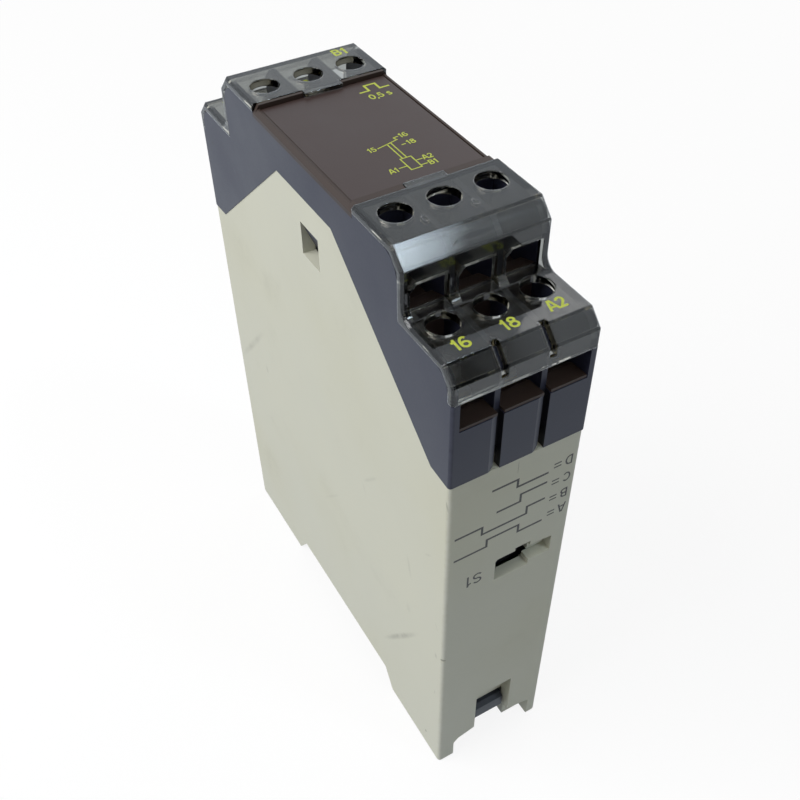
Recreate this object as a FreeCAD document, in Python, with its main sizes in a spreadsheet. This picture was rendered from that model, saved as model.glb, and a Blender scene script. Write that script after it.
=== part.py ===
"""Pulse relay for a 35 mm mounting rail: a moulded case, a stepped terminal head under clear covers and the works.

X runs across the narrow width, Y along the rail-side length, Z from the rail side up to the front plate.
The origin is the middle of the rail-side face that the relay stands on. Millimetres throughout.
"""

import FreeCAD, Part
import Sketcher
import math
import os

Vector = FreeCAD.Vector

# Driving sizes, each one a cell of the document's sheet.
SIZES = {
    # Overall box
    "width": 22.5,
    "length": 80.0,
    "height": 110.0,
    # Light case
    "case_taper": 0.1,
    "case_inset": 0.08,
    "case_wall": 2.05,
    "end_wall": 2.4,
    "floor_wall": 2.3,
    "corner_round": 0.7,
    "seam_end_drop": 30.25,
    "seam_kink_rise": 0.3,
    "seam_kink_run": 4.7,
    "seam_top_drop": 7.3,
    "seam_top_inset": 6.7,
    "lip_height": 1.5,
    "lip_wall": 1.0,
    "snap_window_y": -1.1,
    "snap_window_drop": 7.65,
    "snap_window_side": 5.6,
    "snap_tongue": 1.25,
    # Rail channel and foot
    "channel_middle": -1.85,
    "channel_width": 35.5,
    "channel_depth": 5.5,
    "channel_near_slope": 3.0,
    "channel_far_slope": 4.0,
    "rail_flange": 1.0,
    "hook_reach": 2.3,
    "hook_width": 14.0,
    "arch_left": 7.9,
    "arch_right": 9.1,
    "arch_height": 5.6,
    "arch_rise": 1.0,
    "latch_window_left": 3.4,
    "latch_window_right": 4.1,
    "latch_window_top": 17.8,
    "latch_window_depth": 2.6,
    "latch_well_width": 10.0,
    "latch_well_length": 7.92,
    "latch_roof": 0.8,
    "latch_travel": 3.2,
    "latch_gap": 0.2,
    "latch_wing": 0.7,
    "latch_wing_height": 2.0,
    "latch_head_height": 4.3,
    "latch_pry_gap": 1.1,
    "latch_depth": 2.5,
    "spring_height": 2.0,
    # Selector
    "slot_middle_z": 55.7,
    "slot_edge": 0.8,
    "slot_narrow_width": 4.1,
    "slot_wide_width": 6.4,
    "slot_wide_height": 5.0,
    "slot_wide_sink": 0.2,
    "slot_narrow_height": 3.4,
    "slot_notch_width": 2.8,
    "slot_notch_height": 0.7,
    "slot_relief": 0.55,
    "slot_round": 0.6,
    "knob_width": 3.1,
    "knob_recess": 1.7,
    "selector_height": 9.0,
    "selector_depth": 5.5,
    "selector_inset": 1.0,
    "selector_groove": 3.0,
    # Terminal head
    "plate_wall": 1.2,
    "cover_thickness": 1.15,
    "step_length": 12.1,
    "step_drop": 9.6,
    "step_round": 1.8,
    "top_land": 12.55,
    "shoulder_chamfer": 2.6,
    "shoulder_round": 3.6,
    "brow_chamfer": 2.4,
    "brow_round": 3.0,
    "skirt_drop": 5.35,
    "entry_height": 4.95,
    "cross_wall": 1.2,
    "divider_wall": 0.9,
    "divider_trim": 0.1,
    "finger_wall": 1.3,
    "finger_gap": 0.85,
    "finger_bevel": 1.0,
    "finger_bevel_depth": 0.35,
    "finger_round": 1.0,
    "web_drop": 7.1,
    "web_wall": 1.2,
    "web_depth": 5.7,
    "head_round": 0.5,
    "sheet_edge": 0.35,
    # Front frame and plate
    "frame_drop": 0.65,
    "frame_bevel": 0.6,
    "frame_flange": 1.25,
    "frame_skirt": 1.5,
    "frame_wall": 1.0,
    "frame_side": 0.95,
    "frame_near_strip": 1.25,
    "frame_far_strip": 0.65,
    "plate_thickness": 0.6,
    "plate_drop": 0.05,
    "tab_width": 6.2,
    "tab_length": 1.22,
    "tab_thickness": 0.6,
    # Terminals
    "pitch_trim": 0.3,
    "lower_screw_inset": 8.9,
    "upper_screw_inset": 8.4,
    "lower_bar_drop": 0.6,
    "upper_bar_drop": 1.1,
    "driver_hole": 4.6,
    "window_trim": 1.75,
    "window_height": 4.4,
    "window_chamfer": 1.0,
    "slit_width": 1.1,
    "slit_length": 3.1,
    "slit_depth": 3.8,
    "bar_thickness": 1.2,
    "bar_trim": 2.3,
    "bar_length": 8.0,
    "upper_bar_trim": 0.8,
    "tail_width": 2.2,
    "tail_thickness": 0.8,
    "tail_drop": 9.3,
    "block_wall": 3.9,
    "screw_head": 4.8,
    "screw_head_height": 2.0,
    "screw_shank": 3.0,
    "screw_length": 5.0,
    "screw_slot": 0.8,
    "screw_slot_depth": 1.1,
    "clamp_thickness": 0.95,
    "thread_gap": 0.05,
    "lead_side": 1.0,
    "lead_step": 3.0,
    # Circuit board and what stands on it
    "board_inset": 2.25,
    "board_thickness": 1.6,
    "board_drop": 34.0,
    "rib_wall": 0.85,
    "rib_depth": 2.1,
    "dropper_length": 18.0,
    "dropper_breadth": 8.0,
    "chip_length": 19.0,
    "chip_breadth": 6.4,
    "chip_height": 3.6,
    "can_diameter": 10.0,
    "moulding_bevel": 0.5,
    "transistor_width": 4.6,
    "transistor_depth": 3.3,
    "transistor_lift": 2.0,
    "resistor_diameter": 2.4,
    "resistor_length": 6.5,
    "diode_diameter": 2.6,
    "diode_length": 4.6,
    "axial_lead": 0.6,
    "axial_reach": 1.5,
    # Small relay on the board
    "relay_length": 20.4,
    "relay_breadth": 16.4,
    "relay_room": 0.75,
    "relay_skin": 0.6,
    "relay_base": 1.5,
    "yoke_thickness": 1.2,
    "yoke_width": 10.0,
    "bobbin_flange": 10.6,
    "bobbin_flange_wall": 0.9,
    "bobbin_barrel": 5.2,
    "coil_diameter": 9.6,
    "coil_drop": 5.4,
    "core_diameter": 4.0,
    "pole_diameter": 7.0,
    "pole_thickness": 0.6,
    "armature_thickness": 0.9,
    "armature_angle": 5.0,
    "contact_reach": 8.2,
    "contact_strip": 0.5,
    "contact_face": 2.0,
    "contact_rise": 0.45,
    "contact_post": 1.0,
    "spring_leaf": 0.25,
    # Clearances
    "fit_gap": 0.1,
    "seat_gap": 0.05,
}


class Size:
    """A number together with the sheet expression that gives it."""

    def __init__(self, text, value):
        self.text = text
        self.value = value

    def __add__(self, other):
        other = as_size(other)
        return Size(f"({self.text} + {other.text})", self.value + other.value)

    def __sub__(self, other):
        other = as_size(other)
        return Size(f"({self.text} - {other.text})", self.value - other.value)

    def __mul__(self, other):
        other = as_size(other)
        return Size(f"({self.text} * {other.text})", self.value * other.value)

    def __truediv__(self, other):
        other = as_size(other)
        return Size(f"({self.text} / {other.text})", self.value / other.value)

    def __neg__(self):
        return Size(f"(0 - {self.text})", -self.value)

    def __radd__(self, other):
        return as_size(other) + self

    def __rsub__(self, other):
        return as_size(other) - self

    def __rmul__(self, other):
        return as_size(other) * self


def as_size(number):
    """Give a plain number the same form as a size from the sheet."""
    if isinstance(number, Size):
        return number
    return Size(f"({number})", number)


doc = FreeCAD.newDocument("pulse_relay")
sheet = doc.addObject("Spreadsheet::Sheet", "Sizes")
for row, (alias, number) in enumerate(SIZES.items(), 1):
    sheet.set(f"A{row}", alias)
    sheet.set(f"B{row}", str(number))
    sheet.setAlias(f"B{row}", alias)
doc.recompute()


class Sheet:
    """The sheet's cells as sizes, read by their aliases."""


S = Sheet()
for alias, number in SIZES.items():
    setattr(S, alias, Size(f"Sizes.{alias}", number))

sub_parts = []


def new_body(label):
    """Start one sub-part as a body of its own."""
    body = doc.addObject("PartDesign::Body", label)
    body.Label = label
    sub_parts.append(body)
    return body


def new_sketch(body, plane, shift=0):
    """Start a sketch on one of the body's own origin planes, shifted along that plane's normal."""
    support = [item for item in body.Origin.OriginFeatures if item.Role == plane][0]
    sketch = body.newObject("Sketcher::SketchObject", f"{body.Label}_sketch")
    sketch.AttachmentSupport = [(support, "")]
    sketch.MapMode = "FlatFace"
    sketch.setExpression("AttachmentOffset.Base.z", as_size(shift).text)
    return sketch


def hold(sketch, geometry, point, place):
    """Hold one sketch point at two signed distances from the sketch's origin."""
    for kind, axis, size in (("DistanceX", -2, place[0]), ("DistanceY", -1, place[1])):
        size = as_size(size)
        if size.value == 0:
            sketch.addConstraint(Sketcher.Constraint("PointOnObject", geometry, point, axis))
            continue
        index = sketch.addConstraint(Sketcher.Constraint(kind, -1, 1, geometry, point, size.value))
        sketch.setExpression(f"Constraints[{index}]", size.text)


def draw_loop(sketch, corners):
    """Draw a closed polygon whose corners are pairs of sizes."""
    first = sketch.GeometryCount
    count = len(corners)
    places = [Vector(as_size(a).value, as_size(b).value, 0) for a, b in corners]
    for index, place in enumerate(places):
        sketch.addGeometry(Part.LineSegment(place, places[(index + 1) % count]), False)
    for index in range(count):
        after = (index + 1) % count
        sketch.addConstraint(Sketcher.Constraint("Coincident", first + index, 2, first + after, 1))
        hold(sketch, first + index, 1, corners[index])


def draw_box(sketch, low_x, high_x, low_y, high_y):
    """Draw a rectangle between two pairs of limits."""
    draw_loop(sketch, [(low_x, low_y), (high_x, low_y), (high_x, high_y), (low_x, high_y)])


def draw_circle(sketch, x, y, diameter):
    """Draw a circle of a given diameter round a place."""
    middle = Vector(as_size(x).value, as_size(y).value, 0)
    radius = diameter / 2
    index = sketch.addGeometry(Part.Circle(middle, Vector(0, 0, 1), radius.value), False)
    hold(sketch, index, 3, (x, y))
    limit = sketch.addConstraint(Sketcher.Constraint("Radius", index, radius.value))
    sketch.setExpression(f"Constraints[{limit}]", radius.text)


def pad(body, sketch, length, both=False, back=False):
    """Raise a sketch into solid, one way or evenly both ways."""
    feature = body.newObject("PartDesign::Pad", f"{body.Label}_pad")
    feature.Profile = sketch
    feature.Midplane = both
    feature.Reversed = back
    feature.setExpression("Length", as_size(length).text)
    return feature


def cut(body, sketch, length=None, both=False, back=False):
    """Cut a sketch out of the body, right through where no length is given."""
    feature = body.newObject("PartDesign::Pocket", f"{body.Label}_cut")
    feature.Profile = sketch
    feature.Midplane = both
    feature.Reversed = back
    if length is None:
        feature.Type = "ThroughAll"
    else:
        feature.setExpression("Length", as_size(length).text)
    return feature


def revolve(body, sketch):
    """Turn a half profile about the sketch's upright axis."""
    feature = body.newObject("PartDesign::Revolution", f"{body.Label}_turned")
    feature.Profile = sketch
    feature.ReferenceAxis = (sketch, ["V_Axis"])
    feature.Angle = 360
    return feature


def near(number, size):
    """Say whether a coordinate lies at a size."""
    return abs(number - as_size(size).value) < 0.01


def dress_edges(body, kind, wanted, size):
    """Round or bevel the wanted edges of the body's last feature."""
    doc.recompute()
    base = body.Tip
    names = [f"Edge{index}" for index, edge in enumerate(base.Shape.Edges, 1) if wanted(edge)]
    feature = body.newObject(f"PartDesign::{kind}", f"{body.Label}_{kind.lower()}")
    feature.Base = (base, names)
    feature.setExpression("Radius" if kind == "Fillet" else "Size", as_size(size).text)
    return feature


def dress(body, kind, test, size):
    """Round or bevel the straight edges whose two ends both pass a test."""

    def wanted(edge):
        ends = [vertex.Point for vertex in edge.Vertexes]
        return len(ends) == 2 and all(test(end) for end in ends)

    return dress_edges(body, kind, wanted, size)


# Planes of the case, measured from the overall box
half_width = S.width / 2
half_length = S.length / 2
beyond = S.length
case_top_x = half_width - S.case_inset
case_foot_x = half_width - S.case_taper
case_end_y = half_length - S.case_inset
inner_x = case_foot_x - S.case_wall
inner_y = case_end_y - S.end_wall
shoulder_y = half_length - S.step_length
front_y = shoulder_y - S.top_land
seam_end_z = S.height - S.seam_end_drop
seam_kink_z = seam_end_z + S.seam_kink_rise
seam_kink_y = half_length - S.seam_kink_run
seam_top_z = S.height - S.seam_top_drop
seam_top_y = front_y - S.seam_top_inset
seam_slope = (seam_top_z - seam_kink_z) / (seam_kink_y - seam_top_y)
snap_window_z = seam_top_z - S.snap_window_drop
channel_near_y = S.channel_middle - S.channel_width / 2
channel_far_y = S.channel_middle + S.channel_width / 2
floor_z = S.channel_depth + S.floor_wall
far_floor_z = S.floor_wall

# Latch well in the near foot, and the latch and spring that run in it
near_floor_z = S.latch_window_top + S.latch_roof + S.floor_wall
latch_head_z = S.arch_height + S.latch_head_height
latch_ceiling_z = latch_head_z + S.latch_pry_gap
latch_floor_z = latch_ceiling_z + S.floor_wall
latch_rear_y = inner_y - S.latch_well_length
latch_grip_z = S.channel_depth - S.rail_flange - S.latch_gap
latch_low_z = latch_grip_z - S.latch_depth - S.latch_gap
latch_wing_low = S.arch_height + S.arch_rise + S.latch_gap * 2
latch_wing_high = latch_wing_low + S.latch_wing_height
latch_cross_y = -channel_near_y + S.hook_reach - S.latch_gap * 2.5
spring_half_x = S.latch_well_width / 4 - S.latch_gap * 2
spring_near_y = latch_rear_y - S.latch_roof * 1.75

# Selector slot, and the switch behind it
slot_right_x = inner_x - S.slot_edge
slot_step_x = slot_right_x - S.slot_narrow_width
slot_left_x = slot_step_x - S.slot_wide_width
slot_low_z = S.slot_middle_z - S.slot_wide_height / 2 - S.slot_wide_sink
slot_high_z = S.slot_middle_z + S.slot_wide_height / 2 - S.slot_wide_sink
slot_narrow_low_z = S.slot_middle_z - S.slot_narrow_height / 2
slot_narrow_high_z = S.slot_middle_z + S.slot_narrow_height / 2
selector_low_z = S.slot_middle_z - S.selector_height / 2
selector_high_z = S.slot_middle_z + S.selector_height / 2
selector_face_y = inner_y - S.selector_inset

# Levels of the head, measured down and in from the covers' outside
step_z = S.height - S.step_drop
skirt_z = step_z - S.skirt_drop
finger_z = skirt_z - S.entry_height
web_z = finger_z - S.web_drop
cover_under_z = S.height - S.cover_thickness
step_under_z = step_z - S.cover_thickness
shoulder_in_y = shoulder_y - S.cover_thickness
brow_in_y = half_length - S.cover_thickness
plate_in_x = half_width - S.plate_wall
frame_seat_z = S.height - S.frame_drop - S.frame_flange
bend_share = 0.586
shoulder_in_chamfer = S.shoulder_chamfer - S.cover_thickness * bend_share
brow_in_chamfer = S.brow_chamfer - S.cover_thickness * bend_share
cross_out_y = front_y + S.cross_wall / 2
cross_in_y = front_y - S.cross_wall / 2
finger_back_y = half_length - S.finger_wall
divider_x = S.width / 6 - S.divider_trim

# Terminal rows, with the blocks that carry them
terminal_pitch = S.width / 3 - S.pitch_trim
bar_width = S.width / 3 - S.bar_trim
window_width = S.width / 3 - S.window_trim
lower_screw_y = half_length - S.lower_screw_inset
upper_screw_y = shoulder_y - S.upper_screw_inset
lower_bar_z = finger_z - S.lower_bar_drop
upper_bar_z = step_z - S.upper_bar_drop
riser_y = shoulder_in_y - S.seat_gap * 3
divider_back_y = riser_y + S.seat_gap * 2
divider_upper_z = upper_bar_z - S.bar_thickness - S.block_wall / 2

# Printed plate in the front frame
plate_x = half_width - S.frame_side - S.fit_gap
plate_near_y = -front_y + S.frame_near_strip + S.fit_gap
plate_far_y = front_y - S.frame_far_strip - S.fit_gap

# Circuit board, and the small relay's levels above its face
board_face_x = inner_x - S.board_inset
board_low_z = near_floor_z + S.fit_gap
board_top_z = S.height - S.board_drop
board_room = board_face_x + inner_x
relay_height = board_room - S.relay_room
coil_top = relay_height - S.coil_drop
yoke_top = S.relay_base + S.yoke_thickness
pole_top = coil_top + S.pole_thickness
hinge_height = pole_top + S.seat_gap
yoke_in = S.bobbin_flange / 2 + S.fit_gap * 3
hinge_along = yoke_in + S.yoke_thickness / 2
contact_side = S.relay_breadth / 2 - S.relay_skin - S.contact_post * 2.8
contact_left = -S.contact_reach - S.contact_face * 0.3
contact_right = -S.contact_reach + S.contact_face * 0.3


def tangent(angle):
    """Tangent of an angle of the sheet, as a size."""
    return Size(f"tan({angle.text} * 1 deg)", math.tan(math.radians(angle.value)))


def seam_z(distance):
    """Height of the sloping joint between case and head, at a distance from the middle along Y."""
    return seam_kink_z + (seam_kink_y - distance) * seam_slope


def base_case():
    """Light moulded case: tapered box with gabled sides, rail channel, latch window and selector slot."""
    body = new_body("base_case")
    outline = new_sketch(body, "XZ_Plane")
    top_z = seam_top_z + S.corner_round
    draw_loop(outline, [(-case_foot_x, 0), (case_foot_x, 0), (case_top_x, top_z), (-case_top_x, top_z)])
    pad(body, outline, case_end_y * 2, both=True)

    # Rounded upright corners first, then the whole edge round the foot
    dress_edges(body, "Fillet", lambda edge: abs(edge.Vertexes[0].Z - edge.Vertexes[-1].Z) > 1, S.corner_round)
    dress_edges(body, "Fillet", lambda edge: all(near(v.Z, 0) for v in edge.Vertexes), S.corner_round * 0.8)

    # Inside, left open at the top and stepped over the latch window, the latch well and the rail channel
    inside = new_sketch(body, "YZ_Plane")
    draw_loop(inside, [
        (-inner_y, beyond * 2),
        (-inner_y, near_floor_z),
        (-inner_y + S.end_wall, near_floor_z),
        (-inner_y + S.end_wall, latch_floor_z),
        (-latch_rear_y + S.floor_wall, latch_floor_z),
        (-latch_rear_y + S.floor_wall, floor_z),
        (channel_far_y + S.channel_far_slope + S.floor_wall, floor_z),
        (channel_far_y + S.channel_far_slope + S.floor_wall, far_floor_z),
        (inner_y, far_floor_z),
        (inner_y, beyond * 2),
    ])
    cut(body, inside, inner_x * 2, both=True)

    # Gabled joint with the head
    gable = new_sketch(body, "YZ_Plane")
    draw_loop(gable, [
        (-beyond, seam_end_z),
        (-half_length, seam_end_z),
        (-seam_kink_y, seam_kink_z),
        (-seam_top_y, seam_top_z),
        (seam_top_y, seam_top_z),
        (seam_kink_y, seam_kink_z),
        (half_length, seam_end_z),
        (beyond, seam_end_z),
        (beyond, beyond * 2),
        (-beyond, beyond * 2),
    ])
    cut(body, gable, both=True)

    # Lips that stand up behind the head's fingers
    lips = new_sketch(body, "XY_Plane", seam_end_z - S.lip_height)
    for side in (-1, 1):
        outer = side * (inner_y + S.lip_wall)
        inner = side * inner_y
        draw_box(lips, -inner_x, inner_x, *sorted((outer, inner), key=lambda size: size.value))
    pad(body, lips, S.lip_height * 2)

    # Channel for the mounting rail, with the fixed hook at its far side
    channel = new_sketch(body, "YZ_Plane")
    draw_loop(channel, [
        (channel_near_y - S.channel_near_slope * 2, -S.channel_depth),
        (channel_near_y, S.channel_depth),
        (channel_far_y, S.channel_depth),
        (channel_far_y + S.channel_far_slope * 2, -S.channel_depth),
    ])
    cut(body, channel, both=True)
    hook_top = S.channel_depth - S.rail_flange - S.latch_gap
    hook = new_sketch(body, "YZ_Plane")
    draw_loop(hook, [
        (channel_far_y - S.hook_reach, hook_top),
        (channel_far_y + S.channel_far_slope / 2, hook_top),
        (channel_far_y + S.channel_far_slope + S.rail_flange, S.rail_flange),
        (channel_far_y + S.channel_far_slope / 2, S.rail_flange),
        (channel_far_y - S.hook_reach, hook_top - S.rail_flange),
    ])
    pad(body, hook, S.hook_width, both=True)

    # Arch for the latch in the near end, the shallow window over it and the well that it runs in
    rise = S.arch_rise
    arch = new_sketch(body, "XZ_Plane", half_length)
    draw_loop(arch, [
        (-S.arch_left, -rise),
        (-S.arch_left, S.arch_height - rise),
        (-S.arch_left + rise, S.arch_height),
        (-S.latch_window_left, S.arch_height + rise),
        (-S.latch_window_left, latch_ceiling_z),
        (S.latch_window_right, latch_ceiling_z),
        (S.latch_window_right, S.arch_height + rise),
        (S.arch_right - rise / 2, S.arch_height),
        (S.arch_right, S.arch_height - rise / 2),
        (S.arch_right, -rise),
    ])
    cut(body, arch, half_length - inner_y + S.fit_gap)
    window = new_sketch(body, "XZ_Plane", half_length)
    draw_box(window, -S.latch_window_left, S.latch_window_right, S.arch_height + rise, S.latch_window_top)
    cut(body, window, half_length - case_end_y + S.latch_window_depth)
    well = new_sketch(body, "YZ_Plane")
    draw_loop(well, [
        (-inner_y, -S.channel_depth),
        (-inner_y, latch_ceiling_z),
        (-latch_rear_y, latch_ceiling_z),
        (-latch_rear_y, S.channel_depth),
        (channel_near_y + S.arch_rise, S.channel_depth),
        (channel_near_y + S.arch_rise, -S.channel_depth),
    ])
    cut(body, well, S.latch_well_width, both=True)
    groove = new_sketch(body, "YZ_Plane")
    draw_box(groove, -inner_y, -latch_rear_y, latch_wing_low - S.latch_gap, latch_wing_high + S.latch_gap)
    cut(body, groove, S.latch_well_width + (S.latch_wing + S.latch_gap) * 2, both=True)
    peg = new_sketch(body, "XY_Plane", latch_low_z)
    draw_box(peg, -spring_half_x, spring_half_x, -latch_rear_y, -spring_near_y)
    pad(body, peg, S.channel_depth - latch_low_z + S.seat_gap)

    # Selector slot: a wide half for the driver blade, a narrow half for the slider and a small notch between,
    # cut where the wall is thinned from inside
    slot = new_sketch(body, "XZ_Plane", half_length)
    notch_left = slot_step_x - S.slot_notch_width
    draw_loop(slot, [
        (slot_left_x, slot_low_z),
        (slot_step_x, slot_low_z),
        (slot_step_x, slot_narrow_low_z),
        (slot_right_x, slot_narrow_low_z),
        (slot_right_x, slot_narrow_high_z),
        (slot_step_x, slot_narrow_high_z + S.slot_notch_height / 2),
        (slot_step_x, slot_high_z + S.slot_notch_height),
        (notch_left, slot_high_z + S.slot_notch_height),
        (notch_left, slot_high_z),
        (slot_left_x, slot_high_z),
    ])
    cut(body, slot, half_length - inner_y + S.fit_gap)
    dress(body, "Fillet", lambda end: near(end.x, slot_left_x) and near(end.z, slot_high_z), S.slot_round)
    relief = new_sketch(body, "XZ_Plane", inner_y + S.slot_relief)
    relief_right = slot_right_x + S.slot_edge / 2
    draw_box(relief, slot_left_x - S.slot_edge, relief_right, selector_low_z, selector_high_z)
    cut(body, relief, S.slot_relief)

    # Square windows that the head's snap tongues catch in
    half_side = S.snap_window_side / 2
    windows = new_sketch(body, "YZ_Plane")
    draw_box(
        windows,
        S.snap_window_y - half_side,
        S.snap_window_y + half_side,
        snap_window_z - half_side,
        snap_window_z + half_side,
    )
    cut(body, windows, both=True)

    # Ribs that hold the circuit board against the wall
    ribs = new_sketch(body, "XY_Plane", near_floor_z)
    rib_x = board_face_x - S.fit_gap
    draw_box(ribs, rib_x - S.rib_wall, rib_x, -inner_y, -inner_y + S.rib_depth)
    draw_box(ribs, rib_x - S.rib_wall, rib_x, inner_y - S.rib_depth, inner_y)
    pad(body, ribs, selector_low_z - S.floor_wall - near_floor_z)


def rail_latch():
    """Sliding latch that grips the rail's near flange; a driver blade behind its lip pulls it outwards."""
    body = new_body("rail_latch")
    gap = S.latch_gap
    left_x = gap - S.latch_window_left
    right_x = S.latch_window_right - gap
    face_y = inner_y + S.latch_roof
    under_z = S.arch_height + gap * 3
    lip_z = latch_head_z - S.latch_roof
    lip_y = face_y - S.latch_roof * 2.5
    heel_y = latch_rear_y + S.latch_depth * 1.5
    front = new_sketch(body, "YZ_Plane", left_x)
    draw_loop(front, [
        (-face_y, under_z),
        (-heel_y - S.latch_roof, under_z),
        (-heel_y, latch_low_z),
        (-latch_rear_y - gap, latch_low_z),
        (-latch_rear_y - gap, lip_z),
        (-lip_y, lip_z),
        (-lip_y, latch_head_z),
        (-face_y + S.latch_roof, latch_head_z),
        (-face_y, lip_z),
    ])
    pad(body, front, right_x - left_x)
    wings = new_sketch(body, "XY_Plane", latch_wing_low)
    wing_x = S.latch_well_width / 2 + S.latch_wing
    draw_box(wings, -wing_x, wing_x, -inner_y + S.latch_travel + gap, -latch_rear_y - gap)
    pad(body, wings, latch_wing_high - latch_wing_low)

    # Two arms that pass the spring's peg and the cross bar with the rail grip
    arm_outer = S.latch_well_width / 2 - gap
    arm_inner = spring_half_x + gap * 2
    tip_y = channel_near_y + S.hook_reach - gap
    arms = new_sketch(body, "XY_Plane", latch_low_z)
    for side in (-1, 1):
        limits = sorted((side * arm_inner, side * arm_outer), key=lambda size: size.value)
        draw_box(arms, *limits, -latch_rear_y - gap * 2, -latch_cross_y)
    pad(body, arms, latch_grip_z - latch_low_z)
    grip = new_sketch(body, "YZ_Plane")
    draw_loop(grip, [
        (-latch_cross_y, latch_low_z),
        (channel_near_y, latch_low_z),
        (tip_y, latch_grip_z - S.rail_flange),
        (tip_y, latch_grip_z),
        (-latch_cross_y, latch_grip_z),
    ])
    pad(body, grip, arm_outer * 2, both=True)


def latch_spring():
    """Flat zigzag spring between the case's peg and the latch's cross bar."""
    body = new_body("latch_spring")
    bars = 6
    half = spring_half_x - S.latch_gap
    start = -spring_near_y + S.seat_gap
    end = -latch_cross_y - S.seat_gap
    strip = (end - start) / (bars * 3 - 1)
    pitch = (end - start - strip) / (bars - 1)
    right = [(half, start)]
    left = [(-half, start)]
    for index in range(bars - 1):
        low = start + pitch * index + strip
        high = start + pitch * (index + 1)
        if index % 2:
            right += [(half, low), (strip - half, low), (strip - half, high), (half, high)]
        else:
            left += [(-half, low), (half - strip, low), (half - strip, high), (-half, high)]
    right.append((half, end))
    left.append((-half, end))
    sketch = new_sketch(body, "XY_Plane", latch_low_z + S.latch_gap)
    draw_loop(sketch, right + left[::-1])
    pad(body, sketch, S.spring_height)


def selector():
    """Four-position slide switch behind the end slot: a body set in the board's notch and its slider."""
    housing = new_body("selector_body")
    groove_low = slot_narrow_low_z - S.fit_gap
    groove_high = slot_narrow_high_z + S.fit_gap
    groove_left = slot_left_x - S.fit_gap * 4
    groove_right = slot_right_x + S.fit_gap * 3
    wall = S.fit_gap * 2
    outer = new_sketch(housing, "XZ_Plane", selector_face_y)
    draw_box(outer, groove_left - S.slot_edge, groove_right + wall, selector_low_z, selector_high_z)
    pad(housing, outer, S.selector_depth, back=True)
    groove = new_sketch(housing, "XZ_Plane", selector_face_y)
    draw_box(groove, groove_left, groove_right, groove_low, groove_high)
    cut(housing, groove, S.selector_groove)

    slider = new_body("selector_slider")
    gap = S.fit_gap * 2
    knob_right = slot_right_x - gap
    knob_left = knob_right - S.knob_width
    knob_low = slot_narrow_low_z + gap
    knob_high = slot_narrow_high_z - gap
    knob_face = case_end_y - S.knob_recess
    knob = new_sketch(slider, "XZ_Plane", knob_face)
    draw_box(knob, knob_left, knob_right, knob_low, knob_high)
    pad(slider, knob, knob_face - selector_face_y - gap, back=True)
    foot = new_sketch(slider, "XZ_Plane", selector_face_y + gap)
    draw_box(foot, knob_left + gap * 2, knob_right - gap * 2, knob_low, knob_high)
    pad(slider, foot, S.selector_groove - gap, back=True)


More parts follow.
